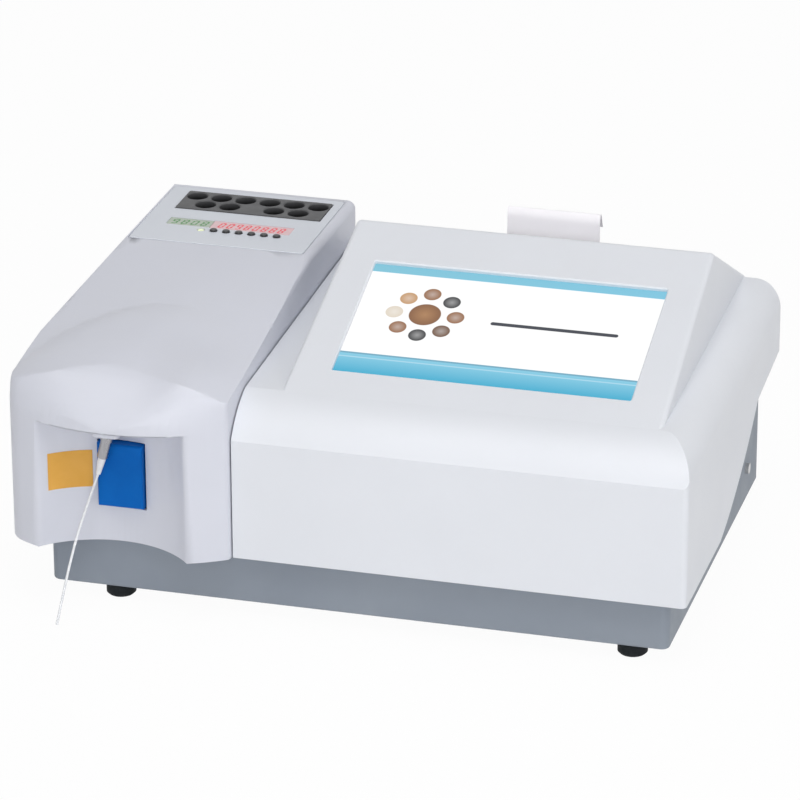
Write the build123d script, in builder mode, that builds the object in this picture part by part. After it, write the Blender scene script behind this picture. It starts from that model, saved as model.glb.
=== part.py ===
from build123d import *
from math import atan, cos, degrees, radians, sin, sqrt, tan
import os

os.makedirs("parts", exist_ok=True)

# Whole instrument, millimetres. X runs across the front, Y runs to the back, Z is up.
# The origin is the middle of the footprint, on the surface that the feet stand on.
body_width = 402.5
body_depth = 286.0
foot_height = 9.2
tray_reveal = 31.8
wall = 2.5

# Main cover: front face, bevel, deck and rear
nose_bulge = 24.0
face_height = 73.4
bevel_rise = 21.6
bevel_depth = 30.0
deck_rise = 6.5
shoulder_radius = 20.0
seam_gap = 0.8
front_corner_radius = 3.0
corner_flatness = 0.33
rear_edge_radius = 5.0

# Lower edge of both covers, which climbs towards the rear
edge_climb_start = 95.0
edge_climb_middle = (150.0, 19.0)
edge_knee = (198.0, 47.4)
rear_skirt_height = 54.0

# Display wedge on the deck
ridge_setback = 180.0
ridge_height = 145.6
ridge_radius = 4.0
wedge_margin_left = 24.2
wedge_margin_right = 25.0
wedge_draft = 3.0
wedge_edge_radius = 3.0

# Display
screen_width = 177.0
screen_height = 99.6
screen_setback = 98.5
screen_centre_offset = 133.6
screen_corner_radius = 1.0
screen_bevel = 0.8
touch_border = 5.5
touch_thickness = 1.8
lcd_thickness = 7.5
lcd_plate_thickness = 1.5
lcd_post_radius = 3.0

# Reader housing on the left
reader_width = 134.5
reader_height = 125.0
reader_corner_setback = 3.0
brow_height = 107.0
brow_radius = 28.0
reader_corner_radius = 20.0
reader_edge_radius = 14.0
reader_right_radius = 5.0
reader_dome = 12.0
dome_reach = 30.0
crown_lift = 0.02
lean_margin = 17.5
lean_angle = 39.2

# Recess in the nose of the reader housing
recess_radius = 60.0
recess_height = 79.5
recess_depth = 29.5
recess_offset = 0.35

# Control panel on top of the reader housing
panel_zone = 95.0
panel_left_margin = 19.0
panel_right_margin = 5.5
panel_rear_margin = 4.0
panel_thickness = 2.0
panel_gap = 0.4
panel_proud = 0.3
panel_ledge = 3.0
panel_corner_radius = 2.0

# Incubator with two rows of wells
well_radius = 6.4
well_pitch = 15.6
well_depth = 20.0
well_chamfer = 0.6
row_spacing = 13.0
row_shift = 0.9
front_row_gap = 28.2
block_width = 92.4
block_depth = 30.0
block_height = 26.0
block_offset = 77.3
block_rear_gap = 25.6
block_proud = 0.5
heater_thickness = 3.0
bracket_sheet = 1.5

# Displays, lamp and timer keys in the control panel
window_recess = 0.2
green_window = (27.5, 11.5)
red_window = (50.5, 12.5)
green_offset = 33.9
red_offset = 61.7
window_rear_gap = 62.0
key_row_rear_gap = 72.5
key_radius = 2.3
key_flange = 0.9
key_pitch = 8.0
key_count = 6
key_travel = 0.6
key_clearance = 0.3
key_proud = 1.2
first_key_offset = 65.8
board_drop = 5.0
board_thickness = 1.6

# Base tray
tray_front_inset = 9.0
tray_left_inset = 20.5
tray_right_inset = 11.5
tray_wall = 2.5
tray_lap = 6.0
tray_corner_radius = 5.0
tray_rear_gap = 0.5
post_radius = 5.0
post_pilot = 12.0
boss_height = 19.0
short_boss_height = 6.0
board_stand_height = 10.0
screw_radius = 1.7
screw_head_radius = 3.3
screw_head_height = 2.2
screw_clearance = 0.1
short_screw_length = 8.0
short_pilot = 7.0

# Feet
foot_radius = 8.8
foot_inset_left = 38.5
foot_inset_right = 23.5
foot_setback = 22.0
foot_edge = 1.2

# Rear panel
panel_sheet = 1.5
rear_recess = 7.5
rear_flange = 30.0
side_screw_height = 21.8

# Thermal printer behind the ridge
printer_offset = 129.0
printer_width = 76.0
printer_start = 24.5
printer_length = 59.0
printer_depth = 46.0
printer_wall = 2.5
printer_gap = 0.3
lid_thickness = 2.4
lid_hinge_inset = 5.5
lid_pin_radius = 0.8
running_gap = 0.05
slot_width = 4.5
paper_width = 57.0
paper_thickness = 0.25
roll_radius = 17.0
core_radius = 6.0
platen_radius = 4.0

# Trigger plate in the recess
trigger_width = 27.6
trigger_height = 39.6
trigger_z = 43.5
trigger_offset = 67.7
trigger_proud = 6.0
trigger_depth = 9.0
trigger_shell = 2.0
trigger_pin_radius = 1.2
trigger_swing = 5.0

# Levels and planes that follow from the sizes above
right_x = body_width / 2
left_x = -right_x
rear_y = body_depth / 2
nose_y = -rear_y
front_y = nose_y + nose_bulge
skirt_z = foot_height + tray_reveal
face_z = skirt_z + face_height
deck_front_z = face_z + bevel_rise
deck_rear_z = deck_front_z + deck_rise
ridge_y = front_y + ridge_setback
ridge_z = skirt_z + ridge_height
reader_x = left_x + reader_width
reader_mid_x = left_x + reader_width / 2
cover_x = reader_x + seam_gap
reader_z = skirt_z + reader_height
seam_y = rear_y - panel_zone
tray_x0 = left_x + tray_left_inset
tray_x1 = right_x - tray_right_inset
tray_y0 = front_y + tray_front_inset
tray_y1 = rear_y - wall - tray_rear_gap
floor_z = foot_height + tray_wall
rear_panel_y = tray_y1 - rear_recess
below = -20.0
deck_slope = deck_rise / (rear_y - front_y - bevel_depth)


def block(x0, x1, y0, y1, z0, z1, mode=Mode.ADD):
    """Box between two corners."""
    with Locations(((x0 + x1) / 2, (y0 + y1) / 2, (z0 + z1) / 2)):
        Box(x1 - x0, y1 - y0, z1 - z0, mode=mode)


def rod(start, direction, radius, length, mode=Mode.ADD):
    """Round bar, or a round hole, from a point along a direction."""
    with BuildSketch(Plane(origin=start, z_dir=direction)) as section:
        Circle(radius)
    extrude(section.sketch, amount=length, mode=mode)


def plate_on(plane, width, height, low, high, radius=0.0, centre=(0.0, 0.0), mode=Mode.ADD):
    """Rectangular plate parallel to a plane, between two distances along its normal."""
    with BuildSketch(plane.offset(low)) as section:
        with Locations(centre):
            if radius:
                RectangleRounded(width, height, radius)
            else:
                Rectangle(width, height)
    extrude(section.sketch, amount=high - low, mode=mode)


def lower_edge(lift=0.0):
    """Lower edge of the covers as seen from the side: level, then climbing to the rear."""
    start = (front_y + edge_climb_start, skirt_z + lift)
    middle = (front_y + edge_climb_middle[0], skirt_z + edge_climb_middle[1] + lift)
    knee = (front_y + edge_knee[0], skirt_z + edge_knee[1] + lift)
    end = (rear_y, skirt_z + rear_skirt_height + lift)
    return start, middle, knee, end


def deck_form(inset):
    """Closed form of the main cover under its wedge, drawn in by a wall thickness."""
    x0 = cover_x + inset
    x1 = right_x - inset
    y0 = front_y + inset
    y1 = rear_y - inset
    start, middle, knee, end = lower_edge()
    bevel_low = (y0, face_z)
    bevel_mid = (y0 + 0.42 * bevel_depth, face_z + 0.62 * bevel_rise - 0.6 * inset)
    bevel_top = (y0 + bevel_depth, deck_front_z - inset)
    deck_end = (y1, deck_rear_z - inset)
    with BuildPart() as form:
        with BuildSketch(Plane.YZ.offset(x0)) as side:
            with BuildLine():
                ThreePointArc(bevel_low, bevel_mid, bevel_top)
                Line(bevel_top, deck_end)
                if inset:
                    Polyline(deck_end, (y1, below), (y0, below), bevel_low)
                else:
                    Polyline(deck_end, end, knee)
                    ThreePointArc(knee, middle, start)
                    Polyline(start, (y0, skirt_z), bevel_low)
            make_face()
            corner = side.vertices().sort_by_distance(deck_end)[0]
            fillet(corner, rear_edge_radius - inset / 2)
        extrude(amount=x1 - x0)
        crown_z = deck_front_z - inset - deck_slope * bevel_depth
        crown_radius = shoulder_radius - inset
        with BuildSketch(Plane.XZ.offset(-y0)) as elevation:
            with BuildLine():
                Polyline((x0, crown_z), (x0, below), (x1, below), (x1, crown_z), close=True)
            make_face()
            corner = elevation.vertices().sort_by_distance((x1, crown_z))[0]
            fillet(corner, crown_radius)
        extrude(amount=y1 - y0 + 1, dir=(0, 1, deck_slope), mode=Mode.INTERSECT)
        with BuildSketch(Plane.XY.offset(below)):
            corner = front_corner_radius - inset / 2
            cut_in = corner_flatness * corner
            with BuildLine():
                Polyline((x1 - corner, y0), (x0, y0), (x0, y1), (x1, y1), (x1, y0 + corner))
                ThreePointArc((x1, y0 + corner), (x1 - cut_in, y0 + cut_in), (x1 - corner, y0))
            make_face()
        extrude(amount=deck_rear_z - below, mode=Mode.INTERSECT)
    return form.part


def wedge_form(inset):
    """Closed form of the display wedge, with its base buried in the deck."""
    x0 = cover_x + wedge_margin_left
    x1 = right_x - wedge_margin_right
    base_z = face_z
    tip = (front_y + bevel_depth, deck_front_z)
    back = (rear_y, deck_rear_z)
    with BuildPart() as form:
        with BuildSketch(Plane.YZ.offset(x0 - 2 * wedge_draft)) as side:
            with BuildLine():
                Polyline((tip[0], base_z), tip, (ridge_y, ridge_z), back, (back[0], base_z), close=True)
            make_face()
            fillet(side.vertices().sort_by_distance((ridge_y, ridge_z))[0], ridge_radius)
            if inset:
                offset(amount=-inset, kind=Kind.INTERSECTION)
        extrude(amount=x1 - x0 + 4 * wedge_draft)
        foot = wedge_draft * (ridge_z - base_z) / (ridge_z - deck_front_z)
        with BuildSketch(Plane.XZ.offset(-front_y)):
            with BuildLine():
                Polyline(
                    (x0 + inset, ridge_z),
                    (x0 + inset - foot, base_z),
                    (x1 - inset + foot, base_z),
                    (x1 - inset, ridge_z),
                    close=True,
                )
            make_face()
        extrude(amount=front_y - rear_y, mode=Mode.INTERSECT)
        long_edges = form.edges().filter_by(lambda edge: is_wedge_rim(edge, base_z))
        fillet(long_edges, wedge_edge_radius - inset / 2)
    return form.part


def is_wedge_rim(edge, base_z):
    """True for the edges along the wedge's left and right rims."""
    low, high = sorted(vertex.Z for vertex in edge.vertices())
    across = abs(edge.vertices()[0].X - edge.vertices()[-1].X)
    length_y = abs(edge.vertices()[0].Y - edge.vertices()[-1].Y)
    return low > base_z + 1 and length_y > 0.5 and across < length_y


def reader_form(inset):
    """Closed form of the reader housing, drawn in by a wall thickness."""
    x0 = left_x + inset
    x1 = reader_x - inset
    y0 = nose_y + inset
    y1 = rear_y - inset
    top = reader_z - inset
    corner_y = front_y - reader_corner_setback + inset
    slope = (reader_height - brow_height) / (seam_y - front_y)
    nose = (y0, top - slope * (seam_y - y0))
    start, middle, knee, end = lower_edge()
    with BuildPart() as form:
        with BuildSketch(Plane.XY.offset(below)) as plan:
            with BuildLine():
                ThreePointArc((x0, corner_y), (reader_mid_x, y0), (x1, corner_y))
                Polyline((x1, corner_y), (x1, y1), (x0, y1), (x0, corner_y))
            make_face()
            fillet(plan.vertices().sort_by_distance((x0, corner_y))[0], reader_corner_radius - inset)
        extrude(amount=top - below + 1)
        with BuildSketch(Plane.YZ.offset(x0)) as side:
            with BuildLine():
                Polyline((y1, top), (seam_y, top), nose)
                if inset:
                    Polyline(nose, (y0, below), (y1, below), (y1, top))
                else:
                    Polyline(nose, (y0, skirt_z), start)
                    ThreePointArc(start, middle, knee)
                    Polyline(knee, end, (y1, top))
            make_face()
            fillet(side.vertices().sort_by_distance(nose)[0], brow_radius - inset)
        extrude(amount=x1 - x0, mode=Mode.INTERSECT)
        rim = form.edges().filter_by(lambda edge: is_reader_rim(edge, y1) and edge.center().X < x1 - 0.3)
        fillet(rim, reader_edge_radius - inset)
        rim = form.edges().filter_by(lambda edge: is_reader_rim(edge, y1) and edge.center().X > x1 - 0.3)
        fillet(rim, reader_right_radius - inset)
        with BuildPart(mode=Mode.PRIVATE) as above:
            for y in (seam_y, y0 - dome_reach):
                sag = reader_dome * (seam_y - y) / (seam_y - y0)
                crown = top - slope * (seam_y - y)
                with BuildSketch(Plane.XZ.offset(-y)):
                    with BuildLine():
                        low = ((x0 - 1, crown - sag), (x1 + 1, crown - sag))
                        ThreePointArc(low[0], (reader_mid_x, crown + crown_lift), low[1])
                        Polyline(low[1], (x1 + 1, top + dome_reach), (x0 - 1, top + dome_reach), low[0])
                    make_face()
            loft()
        add(above.part, mode=Mode.SUBTRACT)
        lean = radians(lean_angle)
        facet = Plane(
            origin=(left_x + lean_margin, seam_y, reader_z),
            x_dir=(0, 1, 0),
            z_dir=(-cos(lean), 0, sin(lean)),
        )
        plate_on(facet, 3 * body_depth, body_depth, -inset, body_depth, mode=Mode.SUBTRACT)
    return form.part


def is_reader_rim(edge, back_y):
    """True for the edges round the top of the reader housing, the rear one left out."""
    first, last = edge.vertices()[0], edge.vertices()[-1]
    at_back = abs(first.Y - back_y) < 0.1 and abs(last.Y - back_y) < 0.1
    level_across = abs(first.Y - last.Y) < 0.01 and abs(first.Z - last.Z) < 0.01
    upright = abs(first.X - last.X) < 0.01 and abs(first.Y - last.Y) < 0.01
    return edge.center().Z > face_z + 10 and not (at_back or level_across or upright)


deck_outer = deck_form(0)
deck_inner = deck_form(wall)
wedge_outer = wedge_form(0)
wedge_inner = wedge_form(wall)
reader_outer = reader_form(0)
reader_inner = reader_form(wall)

# Screws and posts that join the covers to the tray
main_post_x = (cover_x + 18.0, right_x - 22.0)
main_post_y = (front_y + 20.0, rear_y - 50.0)
reader_post_x = (tray_x0 + 8.0, reader_x - 11.0)
reader_post_y = (front_y + 22.0, rear_y - 123.0)
main_posts = [(x, y) for x in main_post_x for y in main_post_y]
reader_posts = [(x, y) for x in reader_post_x for y in reader_post_y]
post_z = floor_z + boss_height

# Screen plane: its Z axis is the outward normal of the wedge's sloping face
screen_tilt = degrees(atan((ridge_z - deck_front_z) / (ridge_setback - bevel_depth)))
screen_y = front_y + screen_setback
screen_z = deck_front_z + (screen_setback - bevel_depth) * tan(radians(screen_tilt))
screen_plane = Plane(
    origin=(right_x - screen_centre_offset, screen_y, screen_z),
    x_dir=(1, 0, 0),
    z_dir=(0, -sin(radians(screen_tilt)), cos(radians(screen_tilt))),
)

# Printer plane: its Z axis is the outward normal of the wedge's rear slope, its Y axis runs down it
rear_tilt = degrees(atan((ridge_z - deck_rear_z) / (rear_y - ridge_y)))
printer_x = right_x - printer_offset
slope_plane = Plane(
    origin=(printer_x, ridge_y, ridge_z),
    x_dir=(1, 0, 0),
    z_dir=(0, sin(radians(rear_tilt)), cos(radians(rear_tilt))),
)


def slope_point(across, along, out):
    """Point given in the printer plane's own axes."""
    return slope_plane.from_local_coords(Vector(across, along, out))


def screen_point(across, up, out):
    """Point given in the screen plane's own axes."""
    return screen_plane.from_local_coords(Vector(across, up, out))


printer_mid = printer_start + printer_length / 2
printer_rim = -0.3
lid_axis = (printer_start + printer_length - lid_hinge_inset, printer_rim - lid_thickness)
lid_front = printer_start + printer_wall + slot_width
lid_width = printer_width - 2 * printer_wall - 2 * printer_gap

# Control panel outline and the row of keys
panel_x0 = left_x + panel_left_margin
panel_x1 = reader_x - panel_right_margin
panel_y0 = seam_y
panel_y1 = rear_y - panel_rear_margin
panel_z = reader_z + panel_proud
panel_under_z = panel_z - panel_thickness
panel_mid_x = (panel_x0 + panel_x1) / 2
panel_mid_y = (panel_y0 + panel_y1) / 2
panel_width = panel_x1 - panel_x0
panel_length = panel_y1 - panel_y0
ledge_z = panel_under_z - wall
block_x = left_x + block_offset
block_y = rear_y - block_rear_gap
block_top = reader_z + block_proud + panel_proud
key_y = rear_y - key_row_rear_gap
key_xs = [left_x + first_key_offset + key_pitch * place for place in range(key_count)]
lamp_x = key_xs[0] - key_pitch
window_y = rear_y - window_rear_gap
green_x = left_x + green_offset + green_window[0] / 2
red_x = left_x + red_offset + red_window[0] / 2
window_top = panel_z - window_recess
board_top = panel_under_z - board_drop

# Recess and trigger in the nose
recess_x = reader_mid_x - recess_offset
recess_wall_y = nose_y + recess_depth
recess_axis_y = recess_wall_y - recess_radius
recess_z = skirt_z + recess_height
trigger_x = left_x + trigger_offset
trigger_mid_z = skirt_z + trigger_z
trigger_front_y = recess_wall_y - trigger_proud
trigger_back_y = trigger_front_y + trigger_depth
trigger_axis_y = trigger_back_y + 2.5 + trigger_proud
trigger_axis_z = trigger_mid_z + trigger_height / 2 - 5
trigger_opening = (0.8, 1.8)


def recess_back(x, gap=0.0):
    """Y of the recess wall at a place across it, or of a surface a gap behind it."""
    return recess_axis_y + sqrt((recess_radius + gap) ** 2 - (x - recess_x) ** 2)


# Passage for wires and tubes through the inner walls of both covers
passage_y = (front_y + 60.0, front_y + 170.0)
passage_z = (skirt_z + 12.0, skirt_z + 62.0)

# Main cover: bevelled deck, display wedge and posts, open below
with BuildPart() as main_cover_posts:
    for x, y in main_posts:
        rod((x, y, post_z), (0, 0, 1), post_radius, ridge_z - post_z)
    add(deck_inner, mode=Mode.INTERSECT)

with BuildPart() as lcd_posts:
    lcd_frame = (screen_width + 2 * touch_border, screen_height + 2 * touch_border)
    lcd_post_x = lcd_frame[0] / 2 + lcd_post_radius + 1.0
    lcd_post_y = lcd_frame[1] / 2 - 9
    lcd_under = wall + touch_thickness + lcd_thickness
    for across in (-lcd_post_x, lcd_post_x):
        for up in (-lcd_post_y, lcd_post_y):
            rod(
                screen_point(across, up, -lcd_under),
                screen_plane.z_dir,
                lcd_post_radius,
                lcd_under - wall / 2,
            )

with BuildPart() as main_cover:
    add(deck_outer)
    add(wedge_outer)
    add(deck_inner, mode=Mode.SUBTRACT)
    add(wedge_inner, mode=Mode.SUBTRACT)
    add(main_cover_posts.part)
    add(lcd_posts.part)
    for x, y in main_posts:
        rod((x, y, post_z), (0, 0, 1), screw_radius, post_pilot, mode=Mode.SUBTRACT)
    for across in (-lcd_post_x, lcd_post_x):
        for up in (-lcd_post_y, lcd_post_y):
            rod(
                screen_point(across, up, -lcd_under),
                screen_plane.z_dir,
                screw_radius,
                short_pilot,
                mode=Mode.SUBTRACT,
            )
    plate_on(
        screen_plane, screen_width, screen_height, -wall - 1, 1, screen_corner_radius, mode=Mode.SUBTRACT,
    )
    plate_on(
        slope_plane,
        printer_width + 2 * printer_gap,
        printer_length + 2 * printer_gap,
        -wall - 3,
        3,
        centre=(0, printer_mid),
        mode=Mode.SUBTRACT,
    )
    block(cover_x - 1, cover_x + wall + 1, *passage_y, *passage_z, mode=Mode.SUBTRACT)
    screen_rim = main_cover.faces().filter_by(lambda face: face.normal_at().dot(screen_plane.z_dir) > 0.999)
    screen_rim = screen_rim.sort_by(SortBy.AREA)[-1].inner_wires()[0].edges()
    chamfer(screen_rim, screen_bevel)
main_cover.part.label = "main_cover"
export_step(main_cover.part, "parts/main_cover.step")

# Reader housing: domed nose with a scooped recess, open below and under the control panel
with BuildPart() as reader_cover_posts:
    for x, y in reader_posts:
        rod((x, y, post_z), (0, 0, 1), post_radius, reader_z - post_z)
    add(reader_inner, mode=Mode.INTERSECT)

with BuildPart() as recess_bulk:
    rod((recess_x, recess_axis_y, below), (0, 0, 1), recess_radius + wall, recess_z + wall - below)

bracket_boss_x = trigger_width / 2 + 7.5
bracket_boss_radius = 3.5
bracket_seat_y = trigger_back_y + 4.0
with BuildPart() as reader_hollow:
    add(reader_inner)
    add(recess_bulk.part, mode=Mode.SUBTRACT)

with BuildPart() as reader_cover:
    add(reader_outer)
    add(reader_hollow.part, mode=Mode.SUBTRACT)
    rod((recess_x, recess_axis_y, below), (0, 0, 1), recess_radius, recess_z - below, mode=Mode.SUBTRACT)
    add(reader_cover_posts.part)
    for x, y in reader_posts:
        rod((x, y, post_z), (0, 0, 1), screw_radius, post_pilot, mode=Mode.SUBTRACT)
    block(
        panel_x0 - panel_gap - wall / 2,
        panel_x1 + panel_gap + wall / 2,
        panel_y0 - panel_gap - wall / 2,
        panel_y1 + panel_gap + wall / 2,
        ledge_z,
        reader_z - wall / 2,
    )
    block(
        panel_x0 + panel_ledge,
        panel_x1 - panel_ledge,
        panel_y0 + panel_ledge,
        panel_y1 - panel_ledge,
        ledge_z - 1,
        reader_z + 1,
        mode=Mode.SUBTRACT,
    )
    block(
        panel_x0 - panel_gap,
        panel_x1 + panel_gap,
        panel_y0 - panel_gap,
        panel_y1 + panel_gap,
        panel_under_z,
        reader_z + 1,
        mode=Mode.SUBTRACT,
    )
    for side in (-1, 1):
        boss_x = trigger_x + side * bracket_boss_x
        boss_y = recess_back(boss_x, wall / 2)
        rod((boss_x, boss_y, trigger_axis_z), (0, 1, 0), bracket_boss_radius, bracket_seat_y - boss_y)
        rod(
            (boss_x, bracket_seat_y, trigger_axis_z),
            (0, -1, 0),
            screw_radius,
            short_pilot,
            mode=Mode.SUBTRACT,
        )
    opening_low = trigger_mid_z - trigger_height / 2 - trigger_opening[1]
    opening_high = trigger_mid_z + trigger_height / 2 + trigger_opening[0]
    block(
        trigger_x - trigger_width / 2 - trigger_opening[0],
        trigger_x + trigger_width / 2 + trigger_opening[0],
        nose_y,
        trigger_back_y + 2,
        opening_low,
        opening_high,
        mode=Mode.SUBTRACT,
    )
    block(reader_x - wall - 1, reader_x + 1, *passage_y, *passage_z, mode=Mode.SUBTRACT)
reader_cover.part.label = "reader_cover"
export_step(reader_cover.part, "parts/reader_cover.step")

# Control panel: flush plate with openings for the block, the two displays, the lamp and the keys
with BuildPart() as control_panel:
    with BuildSketch(Plane.XY.offset(panel_under_z)):
        with Locations((panel_mid_x, panel_mid_y)):
            Rectangle(panel_width, panel_length)
    extrude(amount=panel_thickness)
    fillet(control_panel.edges().filter_by(Axis.Z), panel_corner_radius)
    chamfer(control_panel.faces().sort_by(Axis.Z)[-1].outer_wire().edges(), panel_proud)
    block_hole = (block_width + 2 * panel_gap, block_depth + 2 * panel_gap)
    plate_on(
        Plane.XY, *block_hole, panel_under_z - 1, panel_z + 1, centre=(block_x, block_y), mode=Mode.SUBTRACT,
    )
    for centre_x, window in ((green_x, green_window), (red_x, red_window)):
        plate_on(
            Plane.XY,
            window[0] + printer_gap,
            window[1] + printer_gap,
            panel_under_z - 1,
            panel_z + 1,
            centre=(centre_x, window_y),
            mode=Mode.SUBTRACT,
        )
    for x in [lamp_x] + key_xs:
        rod(
            (x, key_y, panel_under_z - 1),
            (0, 0, 1),
            key_radius + key_clearance,
            panel_thickness + 2,
            mode=Mode.SUBTRACT,
        )
    board_stand_x = (panel_x0 + panel_ledge + 5, panel_x1 - panel_ledge - 5)
    board_stand_y = (panel_y0 + panel_ledge + 6, block_y - block_depth / 2 - 6)
    for x in board_stand_x:
        for y in board_stand_y:
            rod((x, y, board_top), (0, 0, 1), 2.0, board_drop + panel_thickness / 2)
control_panel.part.label = "control_panel"
export_step(control_panel.part, "parts/control_panel.step")

# Incubator: aluminium block with ten wells, the middle place of the front row left blank
back_row_y = block_y + row_spacing / 2 + row_shift
front_row_y = back_row_y - row_spacing
back_row = [block_x + well_pitch * (place - 2.5) for place in range(6)]
front_row = [
    block_x + side * (front_row_gap / 2 + step * well_pitch)
    for side in (-1, 1)
    for step in (0, 1)
]
wells = [(x, back_row_y) for x in back_row] + [(x, front_row_y) for x in front_row]
block_low = block_top - block_height
with BuildPart() as incubator_block:
    plate_on(Plane.XY, block_width, block_depth, block_low, block_top, 1.5, (block_x, block_y))
    for x, y in wells:
        rod((x, y, block_top - well_depth), (0, 0, 1), well_radius, well_depth + 1, mode=Mode.SUBTRACT)
    top_face = incubator_block.faces().sort_by(Axis.Z)[-1]
    mouths = [wire.edges() for wire in top_face.inner_wires()]
    chamfer([edge for edges in mouths for edge in edges], well_chamfer)
incubator_block.part.label = "incubator_block"
export_step(incubator_block.part, "parts/incubator_block.step")

with BuildPart() as incubator_heater:
    heater_low = block_low - heater_thickness
    plate_on(Plane.XY, block_width - 4, block_depth - 4, heater_low, block_low, 1.0, (block_x, block_y))
    plate_on(Plane.XY, 22, 12, heater_low - 3, heater_low, 1.0, (block_x, block_y))
incubator_heater.part.label = "incubator_heater"
export_step(incubator_heater.part, "parts/incubator_heater.step")

# Sheet-metal trestle that carries the incubator above the tray floor
with BuildPart() as incubator_bracket:
    bracket_top = heater_low
    leg_out = block_width / 2 + 1
    bracket_y = block_y
    bracket_depth = 16.0
    with BuildSketch(Plane.XZ.offset(-(bracket_y + bracket_depth / 2))):
        with BuildLine():
            Polyline(
                (block_x - leg_out, floor_z),
                (block_x - leg_out, bracket_top),
                (block_x + leg_out, bracket_top),
                (block_x + leg_out, floor_z),
                (block_x + leg_out - 8, floor_z),
                (block_x + leg_out - 8, floor_z + bracket_sheet),
                (block_x + leg_out - bracket_sheet, floor_z + bracket_sheet),
                (block_x + leg_out - bracket_sheet, bracket_top - bracket_sheet),
                (block_x - leg_out + bracket_sheet, bracket_top - bracket_sheet),
                (block_x - leg_out + bracket_sheet, floor_z + bracket_sheet),
                (block_x - leg_out + 8, floor_z + bracket_sheet),
                (block_x - leg_out + 8, floor_z),
                close=True,
            )
        make_face()
    extrude(amount=bracket_depth)
    plate_on(
        Plane.XY, 30, 14, bracket_top - bracket_sheet - 1, bracket_top + 1, centre=(block_x, block_y), mode=Mode.SUBTRACT
    )
incubator_bracket.part.label = "incubator_bracket"
export_step(incubator_bracket.part, "parts/incubator_bracket.step")

# Displays and lamp that stand on the panel board
with BuildPart() as temperature_display:
    plate_on(Plane.XY, *green_window, board_top, window_top, centre=(green_x, window_y))
temperature_display.part.label = "temperature_display"
export_step(temperature_display.part, "parts/temperature_display.step")

with BuildPart() as timer_display:
    plate_on(Plane.XY, *red_window, board_top, window_top, centre=(red_x, window_y))
timer_display.part.label = "timer_display"
export_step(timer_display.part, "parts/timer_display.step")

with BuildPart() as status_lamp:
    rod((lamp_x, key_y, board_top), (0, 0, 1), key_radius - 0.3, panel_z - board_top)
    fillet(status_lamp.faces().sort_by(Axis.Z)[-1].edges(), 1.2)
status_lamp.part.label = "status_lamp"
export_step(status_lamp.part, "parts/status_lamp.step")

# Panel board with one push switch under each key
switch_height = 1.8
plunger_radius = 1.3
with BuildPart() as panel_board:
    block(
        board_stand_x[0] - 3,
        board_stand_x[1] + 3,
        board_stand_y[0] - 3,
        board_stand_y[1] + 3,
        board_top - board_thickness,
        board_top,
    )
    for x in key_xs:
        block(x - 3, x + 3, key_y - 3, key_y + 3, board_top, board_top + switch_height)
        rod(
            (x, key_y, board_top),
            (0, 0, 1),
            plunger_radius + key_clearance,
            switch_height + 1,
            mode=Mode.SUBTRACT,
        )
panel_board.part.label = "panel_board"
export_step(panel_board.part, "parts/panel_board.step")

for place, x in enumerate(key_xs, start=1):
    with BuildPart() as timer_key:
        flange_top = panel_under_z - key_clearance / 2
        rod(
            (x, key_y, flange_top - key_flange),
            (0, 0, 1),
            key_radius,
            panel_z + key_proud - flange_top + key_flange,
        )
        fillet(timer_key.faces().sort_by(Axis.Z)[-1].edges(), 0.7)
        rod((x, key_y, flange_top - key_flange), (0, 0, 1), key_radius + 0.8, key_flange)
        plunger_low = board_top + key_travel + 0.3
        rod((x, key_y, plunger_low), (0, 0, 1), plunger_radius, flange_top - plunger_low)
    timer_key.part.label = f"timer_key_{place}"
    export_step(timer_key.part, f"parts/timer_key_{place}.step")

# Touch panel, display module and its carrier, stacked under the wedge's sloping wall
with BuildPart() as touch_panel:
    plate_on(screen_plane, *lcd_frame, -wall - touch_thickness, -wall, screen_corner_radius)
touch_panel.part.label = "touch_panel"
export_step(touch_panel.part, "parts/touch_panel.step")

with BuildPart() as lcd_module:
    plate_on(screen_plane, *lcd_frame, -lcd_under, -wall - touch_thickness)
    plate_on(screen_plane, 60, 24, -lcd_under - 4, -lcd_under, centre=(40, 10))
lcd_module.part.label = "lcd_module"
export_step(lcd_module.part, "parts/lcd_module.step")

with BuildPart() as lcd_carrier:
    carrier_low = -lcd_under - lcd_plate_thickness
    plate_on(screen_plane, 2 * lcd_post_x + 7, 2 * lcd_post_y + 10, carrier_low, -lcd_under, 3.0)
    plate_on(
        screen_plane, lcd_frame[0] - 36, lcd_frame[1] - 36, carrier_low - 1, 1 - lcd_under, 4.0, mode=Mode.SUBTRACT
    )
    for across in (-lcd_post_x, lcd_post_x):
        for up in (-lcd_post_y, lcd_post_y):
            rod(
                screen_point(across, up, carrier_low - 1),
                screen_plane.z_dir,
                screw_radius,
                lcd_plate_thickness + 2,
                mode=Mode.SUBTRACT,
            )
lcd_carrier.part.label = "lcd_carrier"
export_step(lcd_carrier.part, "parts/lcd_carrier.step")

# Base tray: open at the rear, its side walls climbing inside the covers
main_board_x = (cover_x + 68.0, cover_x + 208.0)
main_board_y = (front_y + 124.0, rear_y - 38.0)
supply_x = (cover_x + 140.0, cover_x + 234.0)
supply_y = (front_y + 50.0, front_y + 112.0)
bench_x = (left_x + 26.0, reader_x - 5.0)
bench_y = (front_y + 36.0, reader_post_y[1] - 23.0)
stand_inset = 6.0
stand_radius = 3.5


def corner_points(x_pair, y_pair, inset):
    """Four points set in from the corners of a rectangle."""
    return [
        (x, y)
        for x in (x_pair[0] + inset, x_pair[1] - inset)
        for y in (y_pair[0] + inset, y_pair[1] - inset)
    ]


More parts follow.
